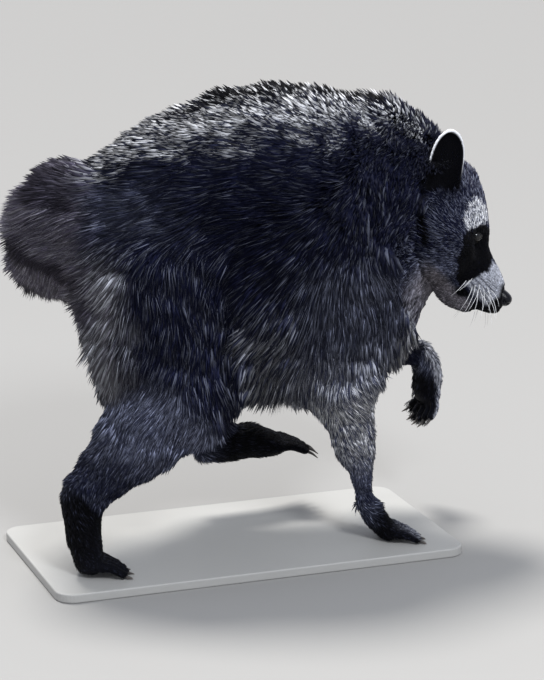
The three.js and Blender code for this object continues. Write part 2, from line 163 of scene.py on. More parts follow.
def spread(values, edges, rounds, share=0.5, weight=None):
    """Values at the vertices, evened out along the edges, round by round."""
    values = np.array(values, float)
    flat = values.reshape(len(values), -1)
    ends = np.concatenate([edges[:, 0], edges[:, 1]])
    others = np.concatenate([edges[:, 1], edges[:, 0]])
    count = np.maximum(np.bincount(ends, minlength=len(flat)), 1)
    pull = share if weight is None else share * weight
    for _ in range(rounds):
        for column in range(flat.shape[1]):
            mean = np.bincount(ends, flat[others, column], len(flat)) / count
            flat[:, column] += pull * (mean - flat[:, column])
    return flat.reshape(values.shape)


def unit(vectors):
    return vectors / np.maximum(np.linalg.norm(vectors, axis=-1, keepdims=True), 1e-9)


def step(low, high, x):
    t = np.clip((x - low) / (high - low), 0, 1)
    return t * t * (3 - 2 * t)


def centre_of(node):
    low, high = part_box(node)
    return np.array((low + high) / 2)


def gap_to(points, node):
    """How far each point is from the middle of a CAD node, in millimetres."""
    return np.linalg.norm(points - centre_of(node), axis=1) / MM


# ---------------------------------------------------------------- the head's own frame, in millimetres

# The muzzle points along +X and its tip is at 0, with +Y to the animal's left and +Z to the crown.
CAD_EYE_AT, CAD_NOSE_AT = np.array((-56.5, 21.5, 21.0)), np.array((-7.0, 0.0, -4.5))
EYE_AT = np.array((-59.2, 21.5, 18.8))
EYE_RADIUS = 6.2
NOSE_AT = np.array((-5.6, 0.0, -5.2))
EAR_AT = np.array((-106.4, 47.0, 29.5))


def head_frame():
    """Where the tip of the muzzle is and the head's three axes, from its CAD eyes and nose."""
    left_eye, right_eye, nose = centre_of("eye_left"), centre_of("eye_right"), centre_of("nose")
    middle = (left_eye + right_eye) / 2
    left = unit(left_eye - right_eye)
    down_muzzle = unit(nose - middle)
    above = np.cross(down_muzzle, left)
    drop = CAD_EYE_AT - CAD_NOSE_AT
    dip = math.atan2(drop[2], -drop[0])
    forward = down_muzzle * math.cos(dip) + above * math.sin(dip)
    up = above * math.cos(dip) - down_muzzle * math.sin(dip)
    axes = np.stack([forward, left, up])
    return nose - CAD_NOSE_AT @ axes * MM, axes


HEAD_TIP, HEAD_AXES = head_frame()


def to_head(points):
    return (points - HEAD_TIP) @ HEAD_AXES.T / MM


def from_head(points):
    return np.asarray(points, float) @ HEAD_AXES * MM + HEAD_TIP


def mirrored(q):
    """Head-frame points, all brought to the animal's left."""
    return np.column_stack([q[:, 0], np.abs(q[:, 1]), q[:, 2]])


def from_eye(q):
    """How far head-frame points are from the middle of the eye on their side, in millimetres."""
    return np.linalg.norm(mirrored(q) - EYE_AT, axis=1)


# ---------------------------------------------------------------- the head's form, as a field of distance

# Where the head's own form fades out: between two places along the neck, and between two distances
# from its outline, in millimetres.
NECK_AT, HEAD_BAND = (-122, -98), (26, 14)


def taper(p, a, b, ra, rb):
    """Distance from a bar with round ends of two radii."""
    a, b = np.array(a, float), np.array(b, float)
    length = np.linalg.norm(b - a)
    axis = (b - a) / length
    slope = (ra - rb) / length
    run = math.sqrt(1 - slope * slope)
    d = p - a
    along = d @ axis
    off = np.sqrt(np.maximum((d * d).sum(1) - along * along, 0))
    k = along * run - off * slope
    side = off * run + along * slope - ra
    near = np.hypot(along, off) - ra
    far = np.hypot(along - length, off) - rb
    return np.where(k < 0, near, np.where(k > length * run, far, side))


def chain(p, stops):
    """Bars from stop to stop. A stop is a place and its radius."""
    pairs = zip(stops, stops[1:])
    return [taper(p, a[:3], b[:3], a[3], b[3]) for a, b in pairs]


def mass(p, centre, radii):
    """Distance from an egg shape, near its surface."""
    d = (p - np.array(centre, float)) / np.array(radii, float)
    k = np.linalg.norm(d, axis=1)
    return k * (k - 1) / np.maximum(np.linalg.norm(d / np.array(radii, float), axis=1), 1e-9)


def run_together(fields, soft):
    """Forms joined with a soft fillet, in millimetres, between them."""
    whole = fields[0]
    for field in fields[1:]:
        h = np.maximum(soft - np.abs(whole - field), 0) / soft
        whole = np.minimum(whole, field) - h * h * soft / 4
    return whole


def hollowed(field, tool, soft):
    """A form with another one's shape taken out of it, and a soft edge to the hollow."""
    return -run_together([-field, tool], soft)


def head_field(p):
    """Distance from the head's outline at the tips of its hair, in millimetres, below zero inside."""
    q = mirrored(p)
    fields = chain(p, [(-11, 0, -5, 8.5), (-26, 0, -5, 13.5), (-46, 0, -6, 19.5)])
    fields += chain(p, [(-17, 0, -17, 7), (-40, 0, -22, 13.5), (-70, 0, -18, 24)])
    fields += [taper(p, (-38, 0, 0), (-64, 0, 12), 12, 21)]
    fields += [mass(p, (-83, 0, 12), (31, 40, 35)), mass(p, (-100, 0, 14), (44, 48, 48))]
    fields += [mass(q, (-80, 31, -7), (34, 31, 32)), mass(q, (-24, 7.5, -12), (17, 9, 9))]
    flesh = run_together(fields, 16)
    return hollowed(flesh, mass(q, (-48, 25, 20), (12, 11, 9)), 7)


# ---------------------------------------------------------------- what each part of the coat is like

# In millimetres: how deep the coat lies over the skin there.
DEPTH = {
    "muzzle": 1.5, "head": 5.0, "neck": 14.0, "trunk": 18.0,
    "upper_arm": 11.0, "forearm": 4.5, "fore_paw": 0.6,
    "thigh": 14.0, "shank": 6.5, "hind_foot": 0.6,
    "tail_root": 20.0, "tail_middle": 27.0, "tail_tip": 25.0,
}  # fmt: skip
TAIL = [index for index, node in enumerate(FLESH) if node.startswith("tail")]


def kind_of(node):
    """A node's name without its side."""
    side, _, rest = node.partition("_")
    return rest if side in SIDES else node


def nearest_node(points, members):
    """For each point, which of the members has the surface nearest to it."""
    vertices, faces, owner = [], [], []
    for index, node in enumerate(members):
        mesh = nodes[node].data
        start = len(vertices)
        vertices += [v.co.copy() for v in mesh.vertices]
        faces += [[start + i for i in p.vertices] for p in mesh.polygons]
        owner += [index] * len(mesh.polygons)
    tree = BVHTree.FromPolygons(vertices, faces)
    return np.array([owner[tree.find_nearest(Vector(p))[2]] for p in points])


def lookup(table, owner):
    """A table's values for the part that owns each point."""
    return np.array([table[kind_of(node)] for node in FLESH], float)[owner]


# ---------------------------------------------------------------- the hide

# The grain that the body is first made at and then the hide, in millimetres, and the hide's faces.
BODY_GRAIN, HIDE_GRAIN, HIDE_FACES = 2.8, 1.3, 150000
TAIL_ROUNDS = 130  # of evening out, which runs the tail's segments together


def bump_at(q, centre, size):
    """1 at a place on both sides of the head, fading out over a distance in millimetres."""
    d = mirrored(q) - np.array(centre, float)
    return np.exp(-(d * d).sum(1) / (size * size))


def from_stretch(p, a, b):
    """How far each point is from the straight stretch between two others."""
    along = np.clip((p - a) @ (b - a) / ((b - a) @ (b - a)), 0, 1)
    return np.linalg.norm(p - a - along[:, None] * (b - a), axis=1)


def from_line(q, stops):
    """How far each point is from a line through the stops, on both sides of the head."""
    stops = np.array(stops, float)
    return np.min([from_stretch(mirrored(q), a, b) for a, b in zip(stops, stops[1:])], axis=0)


MOUTH = [(-9, 0, -17.5), (-13, 5, -20.5), (-22, 11, -20.5), (-31, 15.5, -22), (-38, 18, -25.5)]

# Which way the left eye looks, the ways up and back across its lids, and how far each lid opens
# from its middle, in radians.
GAZE = unit(np.array((0.50, 0.84, 0.22)))
LID_UP = unit(np.cross(GAZE, np.cross(np.array((-0.35, 0.2, 1.0)), GAZE)))
LID_BACK = np.cross(LID_UP, GAZE)
LID_REACH = {"corner": 0.78, "upper": 0.54, "lower": 0.40}


def head_share(q):
    """How much of the head's own form a point takes: 1 on the face, 0 from the neck back."""
    return step(*NECK_AT, q[:, 0]) * step(*HEAD_BAND, np.abs(head_field(q)))


def face_depth(q):
    """How deep the hair of the head lies, in millimetres."""
    depth = 2.0 + 4.2 * step(-38, -92, q[:, 0]) * (1 - 0.7 * step(50, 66, q[:, 2]))
    return depth * (1 - 0.5 * bump_at(q, EYE_AT, 17)) + 3.0 * bump_at(q, (0, 0, -2), 8)


def egg(q, centre, radii, size):
    """About how far points are from an egg shape of this mean radius."""
    return size * (np.linalg.norm((q - np.array(centre)) / radii, axis=1) - 1)


def face_field(q):
    """Distance from the head's skin, with its brows, lids, lips and whisker pads, in millimetres."""
    skin = head_field(q) + face_depth(q)
    skin -= 1.6 * bump_at(q, (-63, 24, 33), 9)
    skin -= 1.0 * bump_at(q, (-24, 11, -13), 9)
    ball = from_eye(q) - (EYE_RADIUS + 1.3)
    lip = egg(q, (-10.5, 0, -12.3), (10.3, 10.5, 9.4), 9.5)
    chin = egg(q, (-35.8, 0, -30), (16.0, 11.0, 7.4), 8.0)
    skin = run_together([skin, ball, lip, chin], 4)
    line = from_line(q, MOUTH)
    return skin + 1.7 * np.exp(-((line / 1.1) ** 2)) - 0.5 * np.exp(-(((line - 3) / 2) ** 2))


def slope_of(field, p, reach):
    """How a field rises along each axis, from two samples a reach away on either side."""
    columns = [(field(p + shift) - field(p - shift)) / (2 * reach) for shift in reach * np.eye(3)]
    return np.column_stack(columns)


def settled(points, field, share, rounds=4, reach=0.5):
    """Points moved onto the surface where a field of the head is zero, as far as their share says."""
    near = share > 0.001
    q = to_head(points[near])
    p = q.copy()
    for _ in range(rounds):
        slope = slope_of(field, p, reach)
        away = np.clip(field(p), -6, 6)
        p = p - 0.8 * away[:, None] * slope / np.maximum((slope * slope).sum(1), 0.3)[:, None]
    result = points.copy()
    result[near] = points[near] + share[near, None] * (from_head(p) - points[near])
    return result


def thickness_of(mesh, points, normals):
    """How far it is through the body from each point, straight in."""
    bm = bmesh.new()
    bm.from_mesh(mesh)
    tree = BVHTree.FromBMesh(bm)
    bm.free()
    starts = points - normals * 0.3 * MM
    hits = [tree.ray_cast(Vector(p), Vector(-n))[3] for p, n in zip(starts, normals)]
    return np.array([0.2 if hit is None else hit for hit in hits])


def under_the_coat():
    """The body without its ears, drawn in from the tips of its hair to its skin."""
    body = copy_of("body", FLESH)
    applied(body, "REMESH", mode="VOXEL", voxel_size=BODY_GRAIN * MM)
    mesh = body.data
    edges = edges_of(mesh)
    points = spread(points_of(mesh), edges, 6)
    set_points(mesh, points)
    owner = nearest_node(points, FLESH)
    depth = lookup(DEPTH, owner)
    on_foot = np.zeros(len(points), bool)
    for index, node in enumerate(FLESH):
        if node in FEET:
            here = owner == index
            on_foot |= here
            depth[here] = 3.0 * up_the_foot(points[here], node) - 0.4
    depth = spread(depth, edges, 60, weight=~on_foot)
    share = head_share(to_head(points))
    depth += share * (face_depth(to_head(points)) - depth)
    normals = normals_of(mesh)
    thin = spread(thickness_of(mesh, points, normals), edges, 8) / MM
    depth = np.minimum(depth, (0.3 + 0.09 * np.isin(owner, TAIL)) * thin)
    points = points - normals * (depth * MM)[:, None]
    points = spread(points, edges, 4, weight=~on_foot)
    on_tail = spread(np.isin(owner, TAIL), edges, 12)
    points = spread(points, edges, TAIL_ROUNDS, weight=on_tail)
    points = settled(points, lambda q: head_field(q) + face_depth(q), share)
    set_points(mesh, points)
    return body


def from_toes(points, foot):
    """How far each point is from a foot's middle claw, in millimetres."""
    return gap_to(points, foot + "_claw_3")


def up_the_foot(points, foot):
    """0 at the toes, 1 where the foot joins the leg."""
    reach = (24, 46) if "fore" in foot else (34, 66)
    return step(*reach, from_toes(points, foot))


def make_foot(foot):
    """A smooth foot, drawn in under its fur towards the ankle."""
    piece = copy_of(foot, [foot])
    applied(piece, "SUBSURF", levels=2, render_levels=2)
    mesh = piece.data
    points = points_of(mesh)
    depth = 3.6 * up_the_foot(points, foot) - 0.9
    set_points(mesh, points - normals_of(mesh) * (depth * MM)[:, None])
    return piece


# The ear is a cupped leaf that stands on the head, in millimetres and degrees, as for the left one.
EAR = {"height": 50.5, "width": 34.5, "cup": 11.5, "sunk": 10.0, "thick": 2.3}
EAR_TURN = {"lean": -12.0, "cant": -30.0, "outward": 70.0}
EAR_TOP = 3.6  # how squarely its top is rounded: 2 is an oval, and more is squarer


def ear_turn(side):
    """How an ear is turned in the head's frame, from upright with its hollow ahead."""
    lean, outward = side * EAR_TURN["lean"], side * EAR_TURN["outward"]
    turn = Matrix.Rotation(math.radians(EAR_TURN["cant"]), 3, "Y")
    turn = turn @ Matrix.Rotation(math.radians(lean), 3, "X")
    return np.array(turn @ Matrix.Rotation(math.radians(outward), 3, "Z"))


def ear_width(t):
    """Half an ear's breadth from its foot, where t is 0, to its top, if it were not rounded off."""
    return EAR["width"] / 2 * (0.86 + 0.2 * t)


def make_ear(name, side):
    """A sheet bent to the leaf's shape, and then given its thickness."""
    bm = bmesh.new()
    bmesh.ops.create_grid(bm, x_segments=24, y_segments=32, size=1)
    ear = from_bmesh(name, bm)
    grid = points_of(ear.data)
    s, rise = grid[:, 0], (grid[:, 1] + 1) / 2
    t = 1 - (1 - rise) ** 1.7
    half = ear_width(t) * np.sqrt(np.maximum(0.002, 1 - t**EAR_TOP))
    cup = EAR["cup"] * (1 - s * s) * (1 - 0.45 * t) + EAR["thick"] / 2
    height = t * (EAR["height"] + EAR["sunk"]) - EAR["sunk"]
    place = np.column_stack([-cup, s * half, height]) @ ear_turn(side).T
    set_points(ear.data, from_head(place + EAR_AT * (1, side, 1)))
    applied(ear, "SOLIDIFY", thickness=EAR["thick"] * MM, offset=0)
    return ear


def island_of(seed):
    """Every vertex that edges join to this one."""
    island, edge = {seed}, [seed]
    while edge:
        vertex = edge.pop()
        fresh = {link.other_vert(vertex) for link in vertex.link_edges} - island
        island |= fresh
        edge += fresh
    return island


def keep_largest(obj):
    """The object without the loose scraps that a remesh leaves."""
    with editing(obj) as bm:
        left, largest = set(bm.verts), set()
        while left:
            island = island_of(next(iter(left)))
            left -= island
            largest = max(largest, island, key=len)
        bmesh.ops.delete(bm, geom=[v for v in bm.verts if v not in largest], context="VERTS")


def in_ear(q):
    """Head-frame points in the frame of the ear on their side: ahead, across and up it."""
    return (mirrored(q) - EAR_AT) @ ear_turn(1)


def ear_leaf(q):
    """How far the head-frame points lie off the leaf of the nearer ear, and in from its edge."""
    e = in_ear(q)
    t = np.clip((e[:, 2] + EAR["sunk"]) / (EAR["height"] + EAR["sunk"]), 0, 1.3)
    across = np.abs(e[:, 1]) / ear_width(t)
    s = np.minimum(1, across / np.sqrt(np.maximum(0.002, 1 - t**EAR_TOP)))
    middle = EAR["cup"] * (1 - s * s) * (1 - 0.45 * t) + EAR["thick"] / 2
    return np.abs(e[:, 0] + middle), 22 * (1 - np.sqrt(across**2 + t**EAR_TOP))


def near_ears(q):
    """Which points are on an ear: on its leaf, at its edge, or in the bowl at its foot."""
    off, inward = ear_leaf(q)
    e = in_ear(q)
    standing = (e[:, 2] > 15) & (off < 7) & (inward > -6)
    bowl = (e[:, 2] > -4) & (np.abs(e[:, 0] + 6) < 6.5) & (np.abs(e[:, 1]) < 14)
    return (e[:, 2] > 1) & (off < 4.5) & (inward > -4) | standing | bowl


def keep_fine(points):
    """Where the skin shows between its hairs, and so needs a fine surface."""
    q = to_head(points)
    face = step(-96, -80, q[:, 0]) * (head_share(q) > 0.5)
    fine = np.maximum(face, near_ears(q))
    for foot in FEET:
        low, high = [np.array(corner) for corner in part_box(foot)]
        inside = ((points > low - 0.004) & (points < high + 0.004)).all(1)
        fine = np.maximum(fine, inside)
    return fine


def thinned(obj, faces):
    """Fewer faces, where the coat hides them."""
    group = obj.vertex_groups.new(name="plain")
    fine = keep_fine(points_of(obj.data))
    for value in (0, 1):
        group.add(np.nonzero((fine < 0.5) == value)[0].tolist(), float(value), "REPLACE")
    ratio = faces / sum(len(p.vertices) - 2 for p in obj.data.polygons)
    applied(obj, "DECIMATE", ratio=ratio, vertex_group="plain", vertex_group_factor=1.0)
    obj.vertex_groups.clear()


def refine(obj, wanted, longest):
    """Splits the edges that are longer than this, in millimetres, where they are wanted."""
    chosen = wanted(to_head(points_of(obj.data)))
    with editing(obj) as bm:
        inside = [e for e in bm.edges if all(chosen[v.index] for v in e.verts)]
        long = [e for e in inside if e.calc_length() > longest * MM]
        bmesh.ops.subdivide_edges(bm, edges=long, cuts=1, use_grid_fill=True)
        bmesh.ops.triangulate(bm, faces=[f for f in bm.faces if len(f.verts) > 4])


def lids(q):
    """The skin parted into two lids round each eye. Takes and gives points in the head's frame."""
    side = np.where(q[:, 1] < 0, -1.0, 1.0)
    reach = from_eye(q)
    way = (mirrored(q) - EYE_AT) / np.maximum(reach, 0.1)[:, None]
    facing = way @ GAZE
    across, rise = np.arctan2(way @ LID_BACK, facing), np.arctan2(way @ LID_UP, facing)
    height = np.where(rise > 0, LID_REACH["upper"], LID_REACH["lower"])
    open_by = height * (1 - (across / LID_REACH["corner"]) ** 2) - np.abs(rise)
    edge = step(-0.05, 0.05, open_by)
    rim = EYE_RADIUS + 0.55 + 0.5 * step(-0.03, -0.22, open_by)
    rim -= 0.45 * np.exp(-(((open_by + 0.32) / 0.07) ** 2))
    lid = np.maximum(reach, rim)
    lid = np.where(open_by > -0.35, rim + (lid - rim) * step(-0.1, -0.5, open_by), lid)
    target = lid + edge * (EYE_RADIUS - 1.3 - lid)
    near = (facing > 0.15) & (reach < 13)
    fade = np.where(near, 1 - step(9.5, 13, reach), 0)
    radius = reach + fade * (target - reach)
    moved = EYE_AT + way * radius[:, None]
    moved[:, 1] *= side
    return np.where(near[:, None], moved, q)


def detailed_face(obj):
    """The head's folds, lids and lips."""
    mesh = obj.data
    points = points_of(mesh)
    q = to_head(points)
    share = head_share(q) * ~near_ears(q)
    set_points(mesh, settled(points, face_field, share, 5, 0.35))
    refine(obj, lambda q: from_line(q, MOUTH) < 6, 0.9)
    refine(obj, lambda q: from_eye(q) < 13, 0.9)
    refine(obj, lambda q: from_eye(q) < 11, 0.6)
    mesh = obj.data
    points = points_of(mesh)
    q = to_head(points)
    fine = (q[:, 0] > -90) & ~near_ears(q) & (head_share(q) > 0.5)
    edges = edges_of(mesh)
    points = spread(points, edges, 3, weight=fine)
    points = settled(points, face_field, fine.astype(float), 5, 0.3)
    q = to_head(points)
    near = from_eye(q) < 14
    points[near] = from_head(lids(q[near]))
    set_points(mesh, points)


def make_hide():
    """The whole skin as one surface, fine on the face, ears and feet and coarser under long coat."""
    parts = [under_the_coat()]
    parts += [make_foot(foot) for foot in FEET]
    parts += [make_ear(name, side) for name, side in (("ear_l", 1), ("ear_r", -1))]
    hide = joined_up("hide", parts)
    applied(hide, "REMESH", mode="VOXEL", voxel_size=HIDE_GRAIN * MM)
    keep_largest(hide)
    mesh = hide.data
    edges = edges_of(mesh)
    points = points_of(mesh)
    # A little in and a little out again, which evens the surface but doesn't shrink it.
    for share in (0.5, -0.52, 0.5, -0.52, 0.5):
        points = spread(points, edges, 1, share)
    set_points(mesh, points)
    thinned(hide, HIDE_FACES)
    detailed_face(hide)
    return hide


# ---------------------------------------------------------------- the lie and the size of the hair

# For each part: length and width in millimetres, lift in degrees, and how closely the tufts stand.
HAIR = {
    "muzzle": (4, 0.34, 12, 3.4), "head": (9, 0.37, 26, 2.1), "neck": (25, 0.42, 32, 1.1),
    "trunk": (34, 0.45, 32, 1.0), "upper_arm": (27, 0.42, 24, 1.05), "forearm": (14, 0.4, 20, 1.5),
    "fore_paw": (3.2, 0.4, 14, 1.3), "thigh": (30, 0.45, 26, 0.95), "shank": (19, 0.42, 24, 1.2),
    "hind_foot": (3.2, 0.4, 14, 1.3), "tail_root": (30, 0.42, 40, 1.4),
    "tail_middle": (26, 0.42, 43, 1.6), "tail_tip": (27, 0.42, 43, 1.6),
}  # fmt: skip

# Each limb's hair runs from one part's middle to the next one's.
RUNS = {"upper_arm": "forearm", "forearm": "fore_paw", "thigh": "shank", "shank": "hind_foot"}


def body_lie(points):
    """Which way the hair of the trunk runs: back along the spine, and down its sides."""
    low = step(0.33, 0.17, points[:, 2])
    ahead = step(-0.02, 0.12, points[:, 0])
    dip = np.radians(8 + 52 * low + 30 * ahead + 30 * ahead * low)
    return np.column_stack([-np.cos(dip), 0 * dip, -np.sin(dip)])


def lie_of(points, owner):
    """Which way the hair runs at each point."""
    lie = body_lie(points)
    q = to_head(points)
    away = unit(q - np.array((4.0, 0.0, -4.0)))
    away = away + np.array((-0.35, 0, -0.45)) * step(18, 45, np.abs(q[:, 1]))[:, None]
    face = away @ HEAD_AXES
    for index, node in enumerate(FLESH):
        side, kind = node.partition("_")[0], kind_of(node)
        here = owner == index
        if kind in RUNS:
            lie[here] = unit(centre_of(side + "_" + RUNS[kind]) - centre_of(node))
        elif kind in ("fore_paw", "hind_foot"):
            lie[here] = unit(centre_of(node + "_claw_3") - centre_of(node))
        elif kind in ("head", "muzzle"):
            lie[here] = face[here]
        elif kind == "tail_root":
            lie[here] = unit(centre_of("tail_middle") - centre_of("tail_root") + np.array((-0.06, 0, 0)))
        elif kind in ("tail_middle", "tail_tip"):
            lie[here] = unit(centre_of("tail_tip") - centre_of("tail_middle"))
    return lie


# ---------------------------------------------------------------- colours


def rgb(red, green, blue):
    """A colour as it looks, from 0 to 255, as the light it gives back."""
    c = np.array((red, green, blue)) / 255
    return np.where(c < 0.04045, c / 12.92, ((c + 0.055) / 1.055) ** 2.4)


NAVY = rgb(17, 20, 42)
BLACK = rgb(5, 5, 9)
LAVENDER = rgb(120, 125, 146)
SILVER = rgb(226, 229, 240)
WHITE = rgb(250, 251, 255)
SLATE = rgb(54, 57, 74)
CHIN = rgb(120, 116, 122)
UMBER = rgb(60, 57, 68)
SMOKE = rgb(140, 138, 148)

# The dark rings of the tail: the height of the first, how far down its fall the next is, and how
# much they tilt to its left, from its middle.
RING_TOP, RING_PITCH, RING_TILT, TAIL_Y = 0.335, 0.074, 0.5, -0.009

# Outlines on the side of the head, as (along the muzzle, up), in millimetres.
MASK = [
    (-33, 12), (-31, 4), (-34, -6), (-37, -13), (-39, -22), (-47, -20), (-55, -11),
    (-61, 0), (-65, 8), (-68, 14), (-64, 22), (-61, 31), (-50, 36), (-38, 24),
]  # fmt: skip
BROW = [(-58, 35), (-60, 27), (-63, 22), (-67, 15), (-75, 22), (-81, 33), (-82, 43), (-75, 47), (-66, 45)]
MUZZLE = [(-33, 14), (-31, 4), (-34, -6), (-37, -13), (-38, -19), (-12, -20.5), (2, -16), (6, 14)]
# The outline of the dark fold behind the cheek's ruff, which is painted shade.
CREASE_SHADE = [
    (-125, 27), (-117, 11), (-111, 1), (-98, -11), (-88, -20),
    (-85, -18), (-95, -8), (-108, 4), (-114, 14), (-121, 28),
]  # fmt: skip


def patch(q, outline, soft):
    """1 inside an outline on the side of the head, falling to 0 over a distance outside it."""
    p = q[:, [0, 2]]
    inside, best = np.zeros(len(p), bool), np.full(len(p), 1e3)
    for a, b in np.array(list(zip(outline, outline[1:] + outline[:1])), float):
        best = np.minimum(best, from_stretch(p, a, b))
        crosses = (a[1] > p[:, 1]) != (b[1] > p[:, 1])
        level = (p[:, 1] - a[1]) / (b[1] - a[1] + 1e-9)
        inside ^= crosses & (p[:, 0] < a[0] + level * (b[0] - a[0]))
    return step(soft, -soft, np.where(inside, -best, best))


def waves(points, size, seed):
    """A smooth, uneven value from -1 to 1 over space, with lumps of a size in metres."""
    rng = np.random.default_rng(seed)
    ways = unit(rng.normal(size=(7, 3))) * rng.uniform(0.7, 1.5, (7, 1)) * 2 * math.pi / size
    return np.sin(points @ ways.T + rng.uniform(0, 6.28, 7)).sum(1) / 2.6


class Paint:
    """The dark and the pale colour of the hair at each point, the pale hairs' share, and how far
    the pale ones have dark tips."""

    def __init__(self, count):
        self.dark = np.tile(NAVY, (count, 1))
        self.pale = np.tile(LAVENDER, (count, 1))
        self.share = np.full(count, 0.15)
        self.guard = np.zeros(count)

    def lay(self, cover, dark=None, pale=None, share=None):
        """Turns what is given towards new values, as far as the cover says."""
        wide = cover[:, None]
        if dark is not None:
            self.dark += wide * (dark - self.dark)
        if pale is not None:
            self.pale += wide * (pale - self.pale)
        if share is not None:
            self.share += cover * (share - self.share)


def markings(points, normals, shares):
    """The markings of skin and coat alike, and the sheen, glow and shade painted on them. shares says how
    far each point belongs to each part.
    """
    paint = Paint(len(points))
    x, z = points[:, 0], points[:, 2]
    up, ahead = normals[:, 2], normals[:, 0]
    body = shares["trunk"] + shares["neck"]
    paint.lay(body, pale=LAVENDER * 0.4, share=0.2)
    # The top of the back is painted pale: partly its grizzled grey hair, partly a painted sheen of the
    # light from above and behind.
    crest_and_sheen = step(0.6, 0.9, up + 0.06 * waves(points, 0.03, 21))
    paint.lay(body * crest_and_sheen, dark=SLATE, pale=WHITE, share=0.72)
    paint.guard = body * crest_and_sheen
    paint.lay(shares["neck"] * crest_and_sheen, dark=NAVY * 0.8, share=0.35)
    paint.lay(body * step(0.9, 0.98, up), dark=BLACK * 2, share=0.25)
    rump = step(-0.07, -0.15, x) * step(0.26, 0.30, z) * step(0.7, 0.4, up)
    paint.lay(body * rump, dark=SLATE * 1.3, pale=LAVENDER, share=0.3)
    paint.lay(body * step(0.27, 0.19, z), dark=NAVY * 1.5, pale=LAVENDER * 0.8, share=0.3)
    # The underside is painted pale: partly its paler hair, partly a painted glow of light through its
    # fringe.
    paint.lay(body * step(-0.05, -0.5, up), dark=SLATE, pale=SILVER * 0.5, share=0.6)
    # The breast is painted pale: partly its soft pale fringe, partly painted light on a side that lies in
    # shade.
    paint.lay(body * step(0.4, 0.9, ahead) * step(0.3, 0.24, z), dark=SLATE * 2.6, pale=WHITE, share=0.7)
    paint.lay(shares["upper_arm"], dark=SLATE * 0.8, pale=LAVENDER * 1.2, share=0.5)
    paint.lay(shares["upper_arm"] * step(0.2, 0.14, z), dark=SLATE * 1.6, pale=SILVER * 0.8, share=0.6)
    paint.lay(shares["forearm"], dark=SLATE * 2, pale=WHITE, share=0.6)
    paint.lay(shares["forearm"] * step(0.1, 0.06, z), dark=SLATE * 1.8, pale=LAVENDER * 1.6, share=0.5)
    # Painted shade: the inner side of each forearm is painted near black.
    shaded_inner_side = step(0.0, 0.6, -normals[:, 1] * np.sign(points[:, 1])) * step(0.6, 0.1, ahead)
    paint.lay(shares["forearm"] * shaded_inner_side, dark=BLACK * 2, pale=SLATE, share=0.3)
    paint.lay(shares["thigh"], dark=NAVY * 1.3, pale=LAVENDER * 0.65, share=0.3)
    # The rear of the thigh and rump is painted pale: partly its paler fringe, partly a painted glow of
    # light through it.
    rear = step(-0.35, -0.8, ahead) * step(0.3, 0.25, z)
    paint.lay((shares["thigh"] + body) * rear, dark=SMOKE * 0.45, pale=SILVER * 0.75, share=0.6)
    paint.lay(shares["shank"], dark=SLATE * 1.3, pale=LAVENDER * 1.9, share=0.5)
    paint.lay(shares["foot"], dark=BLACK * 1.4, pale=SLATE, share=0.12)
    gaps = [gap_to(points, foot) for foot in FEET]
    nearest = np.array(FEET)[np.argmin(gaps, axis=0)]
    for foot, gap in zip(FEET, gaps):
        reach = (42, 24) if "fore" in foot else (88, 46)
        leg = shares["forearm" if "fore" in foot else "shank"] * step(*reach, gap)
        paint.lay(leg * 0.85, dark=NAVY, pale=SLATE * 1.3, share=0.35)
    for foot in FEET:
        reach = (38, 56) if "fore" in foot else (80, 105)
        ankle = step(*reach, from_toes(points, foot)) * (nearest == foot)
        paint.lay(shares["foot"] * ankle * 0.9, dark=SLATE, pale=LAVENDER * 1.4, share=0.4)
    # The front and top of the fore paws are painted pale: partly their pale fur, partly a painted rim of
    # light.
    instep_and_rim_light = step(0.1, 0.14, x) * step(0.1, 0.6, ahead + 0.5 * up)
    paint.lay(shares["foot"] * instep_and_rim_light, dark=SLATE, pale=SILVER, share=0.8)
    tail = shares["tail"]
    fall = RING_TOP - z + RING_TILT * (points[:, 1] - TAIL_Y)
    turns = 2 * math.pi * fall / RING_PITCH + 0.5 * waves(points, 0.05, 3)
    ring = step(0.15, 0.8, np.cos(turns))
    paint.lay(tail, dark=UMBER * 3, pale=SMOKE * 1.6, share=0.5)
    paint.lay(tail * ring, dark=UMBER * 0.7, pale=UMBER * 2.2, share=0.45)
    head_markings_and_shade(paint, points, shares["head"])
    paint.lay(shares["ear"], dark=NAVY, pale=LAVENDER, share=0.25)
    # Painted shade: the hollow of each ear is painted near black.
    paint.lay(shares["hollow"], dark=BLACK * 0.6, pale=NAVY, share=0.05)
    paint.lay(shares["rim"], dark=WHITE, pale=WHITE, share=0.9)
    return paint


